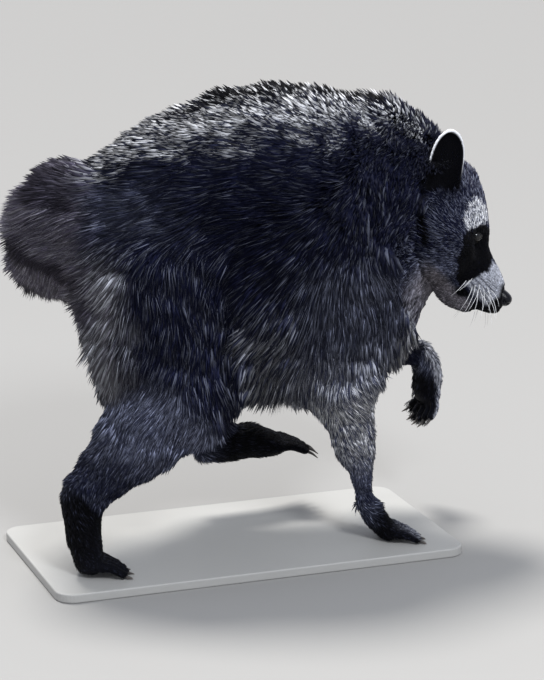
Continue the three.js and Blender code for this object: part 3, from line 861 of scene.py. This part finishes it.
def head_markings_and_shade(paint, points, head):
    q = to_head(points)
    p = mirrored(q)
    wander = 1.0 * waves(points, 0.012, 5) + 0.5 * waves(points, 0.005, 6)
    wide = q + np.column_stack([wander, 0 * wander, 0.7 * wander])
    paint.lay(head, dark=NAVY * 1.1, pale=LAVENDER * 0.8, share=0.4)
    cheek = head * bump_at(q, (-66, 48, -30), 17)
    paint.lay(cheek, dark=SLATE * 1.3, pale=LAVENDER * 1.9, share=0.6)
    below = step(-23, -30, q[:, 2]) * step(-85, -65, q[:, 0])
    paint.lay(head * below, dark=CHIN, pale=CHIN * 2, share=0.55)
    paint.lay(head * bump_at(q, (-106, 48, 40), 13), dark=BLACK, pale=NAVY, share=0.1)
    paint.lay(bump_at(q, (-122, 52, 44), 17), dark=BLACK, pale=NAVY, share=0.1)
    midline = step(6, 2.5, p[:, 1])
    paint.lay(head * patch(wide, BROW, 2.2) * (1 - midline), dark=SLATE * 1.5, pale=WHITE, share=0.72)
    paint.lay(head * patch(wide, MASK, 1.2), dark=BLACK, pale=NAVY, share=0.03)
    muzzle = patch(wide, MUZZLE, 1.2)
    paint.lay(head * muzzle, dark=SILVER * 0.52, pale=SILVER * 1.04, share=0.74)
    rows = step(0.35, 0.9, np.cos((q[:, 2] + 0.10 * q[:, 0] + 0.3 * wander) * 2 * math.pi / 4.3))
    rows *= step(-40, -35, q[:, 0]) * step(-12, -17, q[:, 0]) * step(-1, -4, q[:, 2])
    paint.lay(head * muzzle * rows * 0.8, dark=SLATE * 0.5, pale=LAVENDER * 0.8, share=0.4)
    bridge = step(5, 2.0, p[:, 1]) * step(-2, 5, q[:, 2])
    paint.lay(head * bridge * step(-60, -30, q[:, 0]) * 0.6, dark=SLATE, pale=SMOKE)
    lips = step(4.2, 1.8, from_line(q, MOUTH)) + step(-20, -22, q[:, 2]) * step(-26, -20, q[:, 0])
    corner = bump_at(q, (-37, 17, -25), 5.0)
    paint.lay(head * np.clip(lips + 1.6 * corner, 0, 1), dark=BLACK, pale=NAVY, share=0.05)
    leather = np.interp(q[:, 2], (-16, -7, 2), (-11.0, -7.5, -12.0))
    paint.lay(head * step(-3.5, 1.0, q[:, 0] - leather), dark=BLACK, pale=BLACK, share=0.0)
    # Painted shade in the fold between the cheek's ruff and the neck.
    crease_shade = step(1, 3, p[:, 1]) * patch(q, CREASE_SHADE, 2.5)
    paint.lay((head + 0.7) * crease_shade, dark=BLACK, pale=NAVY, share=0.05)


# ---------------------------------------------------------------- the coat at each point of the hide

# The parts that the coat is made of, by the kinds of nodes in each, and how many rounds its edge is
# evened out where that isn't the usual number.
PARTS = {
    "trunk": ("trunk",), "neck": ("neck",), "head": ("head", "muzzle"),
    "upper_arm": ("upper_arm",), "forearm": ("forearm",), "thigh": ("thigh",),
    "shank": ("shank",), "foot": ("fore_paw", "hind_foot"),
    "tail": ("tail_root", "tail_middle", "tail_tip"),
}  # fmt: skip
EDGE_ROUNDS, CRISP_ROUNDS = 14, {"head": 3, "foot": 4}


def laid_flat(flow, normals):
    """Directions turned into the surface that has these normals."""
    return unit(flow - (flow * normals).sum(1)[:, None] * normals)


class Coat:
    """What the hair is like at each of the hide's vertices."""

    def __init__(self, mesh):
        edges = edges_of(mesh)
        self.points, self.normals = points_of(mesh), normals_of(mesh)
        owner = nearest_node(self.points, FLESH)
        kinds = np.array([kind_of(node) for node in FLESH])[owner]
        hair = spread(lookup(HAIR, owner), edges, 12)
        self.length, self.width, self.lift, self.density = hair.T
        self.flow = laid_flat(spread(lie_of(self.points, owner), edges, 16), self.normals)
        self.shares = {
            name: spread(np.isin(kinds, members), edges, CRISP_ROUNDS.get(name, EDGE_ROUNDS))
            for name, members in PARTS.items()
        }
        self.region()
        self.shares["rim"], self.shares["hollow"] = self.rim, self.hollow
        self.shares["ear"] = near_ears(to_head(self.points)).astype(float)
        self.paint = markings(self.points, self.normals, self.shares)

    def region(self):
        """How the hair changes within a part."""
        q = to_head(self.points)
        head = self.shares["head"]
        face = 3.4 + 9 * step(-40, -112, q[:, 0]) + 8 * bump_at(q, (-92, 62, -12), 30)
        face += 5 * bump_at(q, (-40, 0, -42), 15) - 3.5 * bump_at(q, (-95, 50, 28), 18)
        self.length += head * (face - self.length)
        stand = 14 + 24 * step(-45, -85, q[:, 0]) + 12 * bump_at(q, (-40, 0, -42), 15)
        self.lift += head * (stand - self.lift)
        self.length = self.length * (1 - 0.45 * bump_at(q, EYE_AT, 9))
        self.density *= from_eye(q) > EYE_RADIUS + 0.9
        self.density *= np.linalg.norm(q - NOSE_AT, axis=1) > 10.5
        self.on_feet()
        self.on_ears(q)
        top = self.shares["trunk"] * step(0.3, 0.9, self.normals[:, 2])
        self.lift += 12 * top
        self.length *= 1 - 0.3 * top
        rear = self.shares["thigh"] * step(-0.3, -0.8, self.normals[:, 0])
        under = self.shares["trunk"] * step(-0.1, -0.6, self.normals[:, 2])
        breast = (self.shares["trunk"] + self.shares["neck"]) * step(0.4, 0.8, self.normals[:, 0])
        fringe = np.clip(rear + under + breast * step(0.3, 0.26, self.points[:, 2]), 0, 1)
        self.length *= 1 + 0.25 * fringe
        self.lift += 6 * fringe
        self.curl = 7 + 30 * head * bump_at(q, (-95, 50, 26), 22)

    def on_feet(self):
        """The coat shortens down each leg to a flat fur on the foot, and the sole is bare."""
        foot = self.shares["foot"]
        for node in FEET:
            self.length *= 1 - 0.5 * step(105, 45, gap_to(self.points, node)) * (1 - foot)
            here = (foot > 0.02) & (from_toes(self.points, node) < 110)
            ankle = up_the_foot(self.points[here], node)
            self.length[here] += foot[here] * (2.4 + 6 * ankle - self.length[here])
            ahead = unit(centre_of(node + "_claw_3") - centre_of(node))
            above = np.cross(ahead, (0, 1, 0))
            sole = step(-0.3, -0.7, self.normals[here] @ above) * (1 - ankle)
            self.density[here] *= 1 - foot[here] * sole

    def on_ears(self, q):
        """Short hair, with a pale rim round the top of the ear and little in its hollow."""
        ear = near_ears(q)
        e, inward = in_ear(q), ear_leaf(q)[1]
        side = np.where(q[:, 1] < 0, -1, 1)
        outward = self.normals @ HEAD_AXES.T
        outward[:, 1] *= side
        facing = (outward @ ear_turn(1))[:, 0]
        self.rim = ear * step(1.5, 0.3, inward) * step(10, 30, e[:, 2]) * step(-0.95, -0.5, facing)
        self.hollow = ear * step(0.1, 0.5, facing) * (1 - self.rim)
        away = np.column_stack([0 * inward, e[:, 1], e[:, 2] + 4]) @ ear_turn(1).T
        away[:, 1] *= side
        flow = np.where(ear[:, None], unit(away) @ HEAD_AXES, self.flow)
        self.flow = laid_flat(flow, self.normals)
        self.length = np.where(ear, 3.2 - 0.8 * self.hollow, self.length)
        self.width = np.where(ear, 0.4, self.width)
        self.lift = np.where(ear, 10, self.lift)
        short = 1 - step(6, 3.5, inward) * step(4, 16, e[:, 2])
        self.density = np.where(ear, short * (1.7 - 1.2 * self.hollow), self.density)


def roots_on(mesh, coat, count, rng):
    """Places for tufts, as the corners of the triangles that they stand in and their shares of each."""
    mesh.calc_loop_triangles()
    corners = read(mesh.loop_triangles, "vertices", 3, np.int32)
    area = read(mesh.loop_triangles, "area", 1)[:, 0]
    weight = np.cumsum(area * coat.density[corners].mean(1))
    chosen = np.searchsorted(weight, (np.arange(count) + rng.random(count)) / count * weight[-1])
    chosen = np.minimum(chosen, len(area) - 1)
    u, v = rng.random((2, count))
    over = u + v > 1
    u, v = np.where(over, 1 - u, u), np.where(over, 1 - v, v)
    return chosen, corners[chosen], np.column_stack([1 - u - v, u, v])


def at_roots(values, corners, shares):
    """The hide's values where the tufts stand, between the three corners of each one's triangle."""
    return (values[corners] * shares.reshape(shares.shape + (1,) * (values.ndim - 1))).sum(1)


# A tuft is a thin solid blade with a kink in its middle.
# These are its faces, by the numbers of its points: root, left, right and tip.
BLADE = [0, 2, 1, 3, 1, 2, 0, 1, 3, 0, 3, 2]
BLADE_MAP = [
    (0, 0), (1, 0), (0, 1), (1, 1), (2, 0), (2, 1),
    (0, 1), (1, 1), (0, 2), (1, 1), (2, 1), (2, 2),
]  # fmt: skip
PATCH = 0.003  # how wide each tuft's patch is on the unwrapped hide


def blades(name, shapes, tints, places):
    """Tufts as one mesh. shapes holds four points to a tuft, tints their colours, and places where
    its root lies on the unwrapped hide."""
    count, loops = len(shapes), len(BLADE)
    mesh = bpy.data.meshes.new(name)
    mesh.vertices.add(count * 4)
    mesh.vertices.foreach_set("co", shapes.astype(np.float32).ravel())
    mesh.loops.add(count * loops)
    starts = (np.arange(count, dtype=np.int32) * 4)[:, None]
    mesh.loops.foreach_set("vertex_index", (starts + np.array(BLADE, np.int32)).ravel())
    mesh.polygons.add(count * 4)
    mesh.polygons.foreach_set("loop_start", np.arange(0, count * loops, 3, dtype=np.int32))
    mesh.update(calc_edges=True)
    mesh.shade_smooth()
    local = np.array(BLADE_MAP) * PATCH / 2 - PATCH / 2
    layer = mesh.uv_layers.new(name="OFBake")
    layer.uv.foreach_set("vector", (places[:, None] + local).astype(np.float32).ravel())
    tinted(mesh, tints.reshape(-1, 3))
    return new_object(name, mesh)


def tinted(mesh, colours):
    tint = mesh.color_attributes.new("tint", "FLOAT_COLOR", "POINT")
    whole = np.column_stack([colours, np.ones(len(colours))]).astype(np.float32)
    tint.data.foreach_set("color", whole.ravel())


def grow(hide, coat, count):
    """Every tuft of the coat, as arrays: its four points, their colours, and where it stands."""
    rng = np.random.default_rng(SEED)
    chosen, corners, shares = roots_on(hide.data, coat, count, rng)
    pick = lambda values: at_roots(values, corners, shares)
    root, normal = pick(coat.points), unit(pick(coat.normals))
    flow = unit(pick(coat.flow))
    side = np.cross(normal, flow)
    turn = np.radians(rng.normal(0, 1, count) * pick(coat.curl) + 12 * waves(root, 0.03, 7))[:, None]
    flow = flow * np.cos(turn) + side * np.sin(turn)
    length = pick(coat.length) * rng.uniform(0.7, 1.15, count) * (1 + 0.12 * waves(root, 0.025, 8))
    length = (length * MM)[:, None]
    lift = pick(coat.lift) * (1 + 0.15 * waves(root, 0.02, 9)) + rng.normal(0, 4, count)
    first, last = np.radians(1.25 * lift)[:, None], np.radians(0.65 * lift)[:, None]
    middle = root + 0.5 * length * (flow * np.cos(first) + normal * np.sin(first))
    tip = middle + 0.5 * length * (flow * np.cos(last) + normal * np.sin(last))
    middle, tip = gathered(root, middle, tip, length, rng)
    axis = unit(tip - root)
    side = unit(np.cross(axis, normal))
    ridge = np.cross(side, axis)
    width = (pick(coat.width) * rng.uniform(0.75, 1.25, count) * MM)[:, None]
    ridge = middle + 0.4 * width * ridge
    half = width * side / 2
    shapes = np.stack([root - 0.5 * MM * normal, ridge - half, ridge + half, tip], axis=1)
    parts = {name: pick(values) for name, values in coat.shares.items()}
    paint = markings(middle + 0.6 * (tip - middle), normal, parts)
    return {
        "shapes": shapes,
        "tints": coloured(paint, root, length[:, 0] / MM, rng),
        "root": root,
        "triangle": chosen,
        "shares": shares,
        "parts": parts,
    }


LOCK = 4.0  # how far apart the locks stand, in millimetres


def gathered(root, middle, tip, length, rng):
    """Tufts drawn together at their tips into locks."""
    cell = np.floor(root / (LOCK * MM) + rng.uniform(-0.3, 0.3, root.shape)).astype(np.int64)
    _, lock = np.unique(cell, axis=0, return_inverse=True)
    lock = lock.ravel()
    size = np.bincount(lock)
    mean = lambda values: np.column_stack([np.bincount(lock, v) / size for v in values.T])[lock]
    pull = np.clip(0.22 * length / (18 * MM), 0, 0.22)
    return middle + 0.35 * pull * (mean(middle) - middle), tip + pull * (mean(tip) - tip)


def coloured(paint, root, length, rng):
    """Root, middle and tip colours: most tufts dark, some pale beyond their dark roots."""
    count = len(root)
    share = np.clip(paint.share * (1 + 0.15 * waves(root, 0.018, 12)), 0, 1)
    light = (rng.random(count) < share)[:, None]
    bright = rng.uniform(0.3, 1.05, count)[:, None] ** 1.4
    plain = paint.dark * rng.uniform(0.6, 1.5, count)[:, None]
    middle = np.where(light, paint.pale * bright, plain)
    tip = np.where(light, paint.pale * bright * 1.1, plain * 0.9)
    tip *= np.where(rng.random(count) < 0.4 * paint.guard, 0.1, 1)[:, None]
    base = np.where(light, 0.5 * (paint.dark + paint.pale * bright), paint.dark)
    # Roots are darker the longer the tuft: partly the dark underfur, partly painted shade deep in a long
    # coat.
    base *= (0.9 - 0.5 * step(4, 14, length))[:, None]
    return np.stack([base, middle, middle, tip], axis=1)


# ---------------------------------------------------------------- materials


class Socket:
    """A shader socket that takes part in plain arithmetic."""

    def __init__(self, tree, socket):
        self.tree, self.socket = tree, socket

    def maths(self, operation, other, turned=False):
        node = self.tree.nodes.new("ShaderNodeMath")
        node.operation = operation
        for slot, value in zip(node.inputs, (other, self) if turned else (self, other)):
            feed(self.tree, slot, value)
        return Socket(self.tree, node.outputs[0])

    def __add__(self, other):
        return self.maths("ADD", other)

    def __sub__(self, other):
        return self.maths("SUBTRACT", other)

    def __rsub__(self, other):
        return self.maths("SUBTRACT", other, turned=True)

    def __mul__(self, other):
        return self.maths("MULTIPLY", other)

    __radd__, __rmul__ = __add__, __mul__


def feed(tree, slot, value):
    if isinstance(value, Socket):
        tree.links.new(value.socket, slot)
    else:
        slot.default_value = value


class Finish:
    """A material in the making."""

    def __init__(self, name, **plain):
        self.material = bpy.data.materials.new(name)
        self.material.use_nodes = True
        self.tree = self.material.node_tree
        self.shader = self.tree.nodes["Principled BSDF"]
        for key, value in plain.items():
            self.set({key.replace("_", " ").title().replace("Ior", "IOR"): value})

    def set(self, values):
        for name, value in values.items():
            feed(self.tree, self.shader.inputs[name], value)

    def node(self, kind, settings=None, values=None, output=0):
        """Any node: its type, its settings, the values or links of its sockets, and which output."""
        node = self.tree.nodes.new("ShaderNode" + kind)
        for key, value in (settings or {}).items():
            if key == "stops":
                ramp = node.color_ramp.elements
                while len(ramp) < len(value):
                    ramp.new(0.5)
                for element, (place, colour) in zip(ramp, value):
                    element.position, element.color = place, (*colour, 1)
            else:
                setattr(node, key, value)
        for key, value in (values or {}).items():
            feed(self.tree, node.inputs[key], value)
        return Socket(self.tree, node.outputs[output])

    def places(self):
        return self.node("TexCoord", output="Object")

    def attribute(self, name, output="Fac"):
        return self.node("Attribute", {"attribute_name": name}, output=output)

    def noise(self, scale, detail=3.0, vector=None):
        values = {"Vector": vector or self.places(), "Scale": scale, "Detail": detail}
        return self.node("TexNoise", values=values)

    def mix(self, a, b, share, blend="MIX"):
        """One colour turned into another, or the two put together in another way."""
        settings = {"data_type": "RGBA", "blend_type": blend}
        return self.node("Mix", settings, {0: share, 6: a, 7: b}, 2)

    def bump(self, height, strength, distance):
        values = {"Height": height, "Strength": strength, "Distance": distance}
        self.set({"Normal": self.node("Bump", values=values)})


def fur_finish():
    """Single tufts of hair: their own colour, a little uneven along each, with a soft gloss."""
    fur = Finish("fur", specular_ior_level=0.12)
    uneven = fur.noise(900)
    share = 0.8 + 0.4 * uneven
    level = fur.node("CombineColor", values={0: share, 1: share, 2: share})
    colour = fur.mix(fur.attribute("tint", "Color"), level, 1.0, "MULTIPLY")
    fur.set({"Base Color": colour, "Roughness": 0.45 + 0.2 * fur.noise(300)})
    fur.bump(fur.noise(4000, 2), 0.2, 0.1 * MM)
    return fur.material


def hide_finish():
    """Skin under short flat fur: fine strands that follow the lie of the coat, and creased soles."""
    skin = Finish("hide", specular_ior_level=0.05)
    places, lie = skin.places(), skin.attribute("lie", "Vector")
    along = skin.node("VectorMath", {"operation": "DOT_PRODUCT"}, {0: places, 1: lie}, "Value")
    shift = skin.node("VectorMath", {"operation": "SCALE"}, {0: lie, "Scale": along * 0.86})
    drawn = skin.node("VectorMath", {"operation": "SUBTRACT"}, {0: places, 1: shift})
    strands = skin.noise(1500, 4, drawn)
    share = 0.45 + strands
    level = skin.node("CombineColor", values={0: share, 1: share, 2: share})
    colour = skin.mix(skin.attribute("tint", "Color"), level, 1.0, "MULTIPLY")
    creases = skin.node("TexVoronoi", {"feature": "DISTANCE_TO_EDGE"}, {"Vector": places, "Scale": 700.0})
    bare = skin.attribute("bare")
    height = strands * (1 - bare) + bare * (creases * 2.2 + 0.3 * skin.noise(2500))
    skin.set({"Base Color": colour, "Roughness": 0.5 + 0.25 * strands - 0.12 * bare})
    skin.bump(height, 0.8, 0.35 * MM)
    return skin.material


def eye_finish():
    """A dark brown iris round a black pupil, under a clear wet cornea."""
    eye = Finish("eye", roughness=0.05, specular_ior_level=0.45)
    angle = eye.attribute("from_gaze")
    rays = 0.08 * eye.noise(1600, 4)
    stops = [
        (0.0, (0.001, 0.001, 0.001)),
        (0.26, (0.001, 0.001, 0.001)),
        (0.30, (0.004, 0.003, 0.002)),
        (0.48, (0.007, 0.004, 0.002)),
        (0.56, (0.004, 0.003, 0.002)),
        (1.0, (0.006, 0.004, 0.003)),
    ]
    eye.set({"Base Color": eye.node("ValToRGB", {"stops": stops}, {"Fac": angle + rays - 0.04})})
    eye.bump(eye.noise(2500), 0.03, 0.05 * MM)
    return eye.material


def nose_finish():
    """Moist black leather in small round pebbles."""
    nose = Finish("nose", specular_ior_level=0.16)
    pebbles = nose.node("TexVoronoi", values={"Vector": nose.places(), "Scale": 1150.0})
    colour = nose.mix((0.002, 0.002, 0.003, 1), (0.008, 0.008, 0.012, 1), pebbles)
    nose.set({"Base Color": colour, "Roughness": 0.14 + 0.2 * pebbles})
    nose.bump((1 - pebbles) + 0.3 * nose.noise(3500), 0.4, 0.15 * MM)
    return nose.material


def claw_finish():
    """Dark horn, streaked along its length, worn paler and smoother at the point."""
    claw = Finish("claw", specular_ior_level=0.5)
    worn = claw.attribute("point")
    streaks = claw.noise(1800, 5)
    horn = claw.mix((0.010, 0.009, 0.009, 1), (0.050, 0.042, 0.038, 1), streaks)
    claw.set({"Base Color": claw.mix(horn, (0.13, 0.11, 0.095, 1), worn * 0.6)})
    claw.set({"Roughness": 0.42 + 0.2 * streaks - 0.15 * worn})
    claw.bump(streaks, 0.4, 0.12 * MM)
    return claw.material


def whisker_finish():
    """Stiff white bristle, yellower in places."""
    whisker = Finish("whisker", specular_ior_level=0.6)
    uneven = whisker.noise(220)
    colour = whisker.mix((0.55, 0.55, 0.56, 1), (0.95, 0.95, 0.93, 1), uneven)
    whisker.set({"Base Color": colour, "Roughness": 0.25 + 0.2 * uneven})
    return whisker.material


def plate_finish():
    """Pale satin paint on board, faintly mottled, with the grain of the brush."""
    plate = Finish("plate_paint", specular_ior_level=0.4)
    stretch = {"Vector": plate.places(), "Scale": (1.0, 14.0, 14.0)}
    brush = plate.noise(60, 5, plate.node("Mapping", values=stretch))
    mottle = plate.noise(14)
    colour = plate.mix((0.34, 0.335, 0.32, 1), (0.42, 0.415, 0.395, 1), 0.5 * mottle + 0.5 * brush)
    plate.set({"Base Color": colour, "Roughness": 0.42 + 0.25 * brush})
    plate.bump(brush + 0.4 * plate.noise(900), 0.25, 0.25 * MM)
    return plate.material


def floor_finish():
    floor = Finish("floor", roughness=0.9)
    floor.set({"Base Color": (0.30, 0.295, 0.285, 1)})
    return floor.material


# ---------------------------------------------------------------- pieces


def finished(piece, finish, replaces=()):
    """A piece with its material, riding on the body and standing for its CAD nodes."""
    piece.data.materials.clear()
    piece.data.materials.append(finish)
    piece.data.shade_smooth()
    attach(piece, "root")
    if replaces:
        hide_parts(*replaces)
    return piece


def noted(mesh, name, values):
    """A number or a vector at each vertex, as an attribute for the material to read."""
    kind, key = ("FLOAT_VECTOR", "vector") if values.ndim > 1 else ("FLOAT", "value")
    layer = mesh.attributes.new(name, kind, "POINT")
    layer.data.foreach_set(key, values.astype(np.float32).ravel())


def unwrapped(obj):
    """Each loop triangle's three places on an unwrap of the surface."""
    bpy.context.view_layer.objects.active = obj
    obj.select_set(True)
    bpy.ops.object.mode_set(mode="EDIT")
    bpy.ops.mesh.select_all(action="SELECT")
    bpy.ops.uv.smart_project(angle_limit=math.radians(66), island_margin=0.002)
    bpy.ops.object.mode_set(mode="OBJECT")
    mesh = obj.data
    uv = read(mesh.uv_layers.active.uv, "vector", 2)
    mesh.calc_loop_triangles()
    return uv[read(mesh.loop_triangles, "loops", 3, np.int32)]


TUFTS = 360000
MOST = 49000  # tufts to a piece of coat
SPINE_Y = -0.0068  # where the coat's right and left pieces meet


def make_coat(hide, coat):
    """The whole coat: one piece for each part of the body and side, split where it is large."""
    tufts = grow(hide, coat, TUFTS)
    places = (unwrapped(hide)[tufts["triangle"]] * tufts["shares"][:, :, None]).sum(1)
    finish = fur_finish()
    best = np.argmax(np.stack([tufts["parts"][name] for name in PARTS]), axis=0)
    left = tufts["root"][:, 1] > SPINE_Y
    for index, name in enumerate(PARTS):
        for side, on_side in (("right", ~left), ("left", left)):
            chosen = np.nonzero((best == index) & on_side)[0]
            chosen = chosen[np.argsort(tufts["root"][chosen, 2])]
            pieces = max(1, math.ceil(len(chosen) / MOST))
            for number, part in enumerate(np.array_split(chosen, pieces)):
                title = "coat_%s_%s_%d" % (side, name, number + 1)
                piece = blades(title, tufts["shapes"][part], tufts["tints"][part], places[part])
                finished(piece, finish)


def dress_hide(hide, coat):
    """The skin in the coat's own markings, with painted shade that darkens it where the coat is long."""
    paint = coat.paint
    colour = paint.dark + 0.6 * paint.share[:, None] * (paint.pale - paint.dark)
    # Painted shade under the long coat.
    colour *= (1 - 0.5 * step(4, 10, coat.length))[:, None]
    tinted(hide.data, colour)
    noted(hide.data, "lie", coat.flow)
    noted(hide.data, "bare", coat.shares["foot"] * (coat.density < 0.25))
    finished(hide, hide_finish(), [*FLESH, *EARS])


def make_eye(side):
    """An eyeball with a cornea that stands out a little, and its angle from the gaze at each point."""
    name = "left" if side > 0 else "right"
    bm = bmesh.new()
    bmesh.ops.create_uvsphere(bm, u_segments=48, v_segments=32, radius=EYE_RADIUS * MM)
    gaze = (GAZE * (1, side, 1)) @ HEAD_AXES
    turn = Vector(gaze).to_track_quat("Z", "X").to_matrix()
    bmesh.ops.rotate(bm, verts=bm.verts, matrix=turn)
    eye = from_bmesh(name + "_eye", bm)
    points = points_of(eye.data)
    angle = np.arccos(np.clip(unit(points) @ gaze, -1, 1))
    points *= (1 + 0.07 * np.exp(-((angle / 0.6) ** 2)))[:, None]
    set_points(eye.data, points + from_head(EYE_AT * (1, side, 1)))
    noted(eye.data, "from_gaze", angle / 1.6)
    return finished(eye, eye_finish(), ["eye_" + name])


NOSE_RADII, NOSE_ROUNDING = (8.8, 9.6, 7.2), 2.7


def make_nose():
    """The nose pad: a rounded wedge with a groove down its middle and a curled nostril each side."""
    bm = bmesh.new()
    bmesh.ops.create_uvsphere(bm, u_segments=96, v_segments=64, radius=1)
    nose = from_bmesh("nose_pad", bm)
    n = points_of(nose.data)
    p = mirrored(n)
    near = lambda place, size: np.exp(-(((p - np.array(place)) ** 2).sum(1)) / size**2)
    rounded = (np.abs(n) ** NOSE_ROUNDING).sum(1) ** (-1 / NOSE_ROUNDING)
    shape = n * rounded[:, None] * np.array(NOSE_RADII)
    shape[:, 2] *= 1 - 0.16 * step(0.0, -0.9, n[:, 2])
    shape[:, 0] -= 2.2 * step(0.1, -1.0, n[:, 2]) * step(0, 0.6, n[:, 0])
    pit = 3.4 * near((0.80, 0.46, -0.12), 0.20) + 2.4 * near((0.52, 0.80, -0.26), 0.17)
    pit += 1.6 * near((0.30, 0.92, -0.20), 0.16)
    groove = 0.9 * np.exp(-((n[:, 1] / 0.06) ** 2)) * step(0.25, -0.3, n[:, 2]) * step(0, 0.4, n[:, 0])
    wing = 0.7 * near((0.62, 0.66, 0.14), 0.3)
    shape = shape - unit(n) * (pit + groove - wing)[:, None]
    set_points(nose.data, from_head(NOSE_AT + shape))
    return finished(nose, nose_finish(), ["nose"])


RIM_WIDTH = WHISKER_WIDTH = 0.8 * MM


def tubes(name, lines, thickness, end=1.0, closed=False):
    """Round tubes along lines of points, as one mesh, each narrowing to a share of its thickness."""
    data = bpy.data.curves.new(name, "CURVE")
    data.dimensions = "3D"
    data.bevel_depth, data.bevel_resolution, data.use_fill_caps = thickness / 2, 1, True
    for line in lines:
        spline = data.splines.new("POLY")
        spline.points.add(len(line) - 1)
        for point, place, share in zip(spline.points, line, np.linspace(1, end, len(line))):
            point.co, point.radius = (*place, 1), share
        spline.use_cyclic_u = closed
    curve = new_object(name + "_line", data)
    evaluated = curve.evaluated_get(bpy.context.evaluated_depsgraph_get())
    piece = new_object(name, bpy.data.meshes.new_from_object(evaluated))
    bpy.data.objects.remove(curve)
    with editing(piece) as bm:
        bmesh.ops.remove_doubles(bm, verts=bm.verts, dist=0.001 * MM)
        bmesh.ops.recalc_face_normals(bm, faces=bm.faces)
    return piece


def make_lid_rims():
    """The dark wet edge of each pair of lids."""
    lines = []
    for side in (1, -1):
        ring = []
        for turn in np.linspace(0, 2 * math.pi, 48, endpoint=False):
            across = LID_REACH["corner"] * math.cos(turn)
            height = LID_REACH["upper" if turn < math.pi else "lower"]
            rise = math.copysign(height * (1 - (across / LID_REACH["corner"]) ** 2), math.sin(turn))
            way = unit(GAZE + math.tan(across) * LID_BACK + math.tan(rise) * LID_UP)
            ring.append(from_head((EYE_AT + way * (EYE_RADIUS + 0.35)) * (1, side, 1)))
        lines.append(ring)
    rims = tubes("eyelid_rims", lines, RIM_WIDTH, closed=True)
    return finished(rims, eye_finish())


def make_whiskers():
    """Four rows of whiskers on each side of the muzzle, that fan out from ahead to behind."""
    rng = np.random.default_rng(SEED + 1)
    lines = []
    for side in (1, -1):
        for row, height in enumerate((-6.0, -10.0, -14.0, -18.0)):
            for column in range(4 if row else 2):
                fan = 1 - column / 1.9 + rng.normal(0, 0.08)
                x = -15 - 5.4 * column - 1.2 * row + rng.normal(0, 0.5)
                place = settled_on_face(np.array((x, 30.0, height + rng.normal(0, 0.4))))
                way = unit(np.array((0.32 + 0.42 * fan, 0.7, -0.42 + 0.3 * fan + 0.012 * (height + 12))))
                length = rng.uniform(24, 38) * (1 if column < 3 else 0.45) + 2 * row
                t = np.linspace(0, 1, 10)[:, None]
                line = place - 1.0 * way + length * (t * way + t * t * np.array((-0.14, -0.08, -0.26)))
                lines.append(from_head(line * (1, side, 1)))
    return finished(tubes("whiskers", lines, WHISKER_WIDTH, 0.15), whisker_finish())


def settled_on_face(place):
    """The head's skin nearest to a place, both in the head's frame."""
    return to_head(settled(from_head(place[None]), face_field, np.ones(1), 12))[0]


CLAW_SIZE = 1.3  # as against the CAD claws, measured from the tip


def make_claws(foot):
    """A foot's five claws: smooth, each with its root set into its toe."""
    members = ["%s_claw_%d" % (foot, number) for number in range(1, 6)]
    parts, worn = [], []
    for node in members:
        claw = copy_of(node + "_smooth", [node])
        applied(claw, "SUBSURF", levels=3, render_levels=3)
        points = points_of(claw.data)
        along = (points - centre_of(foot)) @ unit(centre_of(node) - centre_of(foot))
        tip = points[np.argmax(along)]
        set_points(claw.data, tip + CLAW_SIZE * (points - tip))
        worn.append(step(along.min(), along.max(), along) ** 3)
        parts.append(claw)
    claws = joined_up(foot + "_claws", parts)
    noted(claws.data, "point", np.concatenate(worn))
    return finished(claws, claw_finish(), members)


PLATE_EDGE = 1.4 * MM


def make_plate():
    """The plate that it stands on, with its edges eased."""
    plate = copy_of("plate", ["stand_base"])
    with editing(plate) as bm:
        bmesh.ops.dissolve_limit(bm, angle_limit=math.radians(2), verts=bm.verts, edges=bm.edges)
        rims = [e for e in bm.edges if len(e.link_faces) == 2 and e.calc_face_angle() > math.radians(60)]
        bmesh.ops.bevel(
            bm, geom=rims, offset=PLATE_EDGE, offset_type="OFFSET", affect="EDGES",
            segments=4, profile=0.5, material=-1,
        )  # fmt: skip
    finished(plate, plate_finish(), ["stand_base"])
    plate.data.shade_flat()
    return plate


# ---------------------------------------------------------------- the studio


def make_floor():
    bm = bmesh.new()
    bmesh.ops.create_grid(bm, x_segments=1, y_segments=1, size=30)
    floor = from_bmesh("floor", bm)
    floor.data.materials.append(floor_finish())


def make_light(name, kind, energy, size, place, colour):
    """A lamp that faces the animal from a place. size is an area's diameter, or a sun's angle."""
    data = bpy.data.lights.new(name, kind)
    data.energy, data.color = energy, colour
    if kind == "AREA":
        data.shape, data.size = "DISK", size
    else:
        data.angle = size
    light = bpy.data.objects.new(name, data)
    light.location = place
    light.rotation_euler = (Vector((0, 0, 0.2)) - Vector(place)).to_track_quat("-Z", "Y").to_euler()
    bpy.context.scene.collection.objects.link(light)


def make_studio():
    make_floor()
    make_light("sky_light_behind", "SUN", 4.2, 0.3, (-0.1, 1.0, 2.3), (1.0, 0.98, 0.95))
    make_light("soft_front", "AREA", 55, 0.7, (0.2, -2.3, 2.1), (0.92, 0.95, 1.0))
    world = bpy.data.worlds.new("studio")
    world.use_nodes = True
    backdrop = world.node_tree.nodes["Background"]
    backdrop.inputs["Color"].default_value = (0.86, 0.90, 1.0, 1)
    backdrop.inputs["Strength"].default_value = 0.75
    bpy.context.scene.world = world


# ---------------------------------------------------------------- the whole


def main():
    make_camera()
    make_studio()
    hide = make_hide()
    coat = Coat(hide.data)
    make_coat(hide, coat)
    dress_hide(hide, coat)
    for side in (1, -1):
        make_eye(side)
    make_nose()
    make_lid_rims()
    make_whiskers()
    for foot in FEET:
        make_claws(foot)
    make_plate()
    bpy.context.scene.view_settings.view_transform = "Standard"


main()
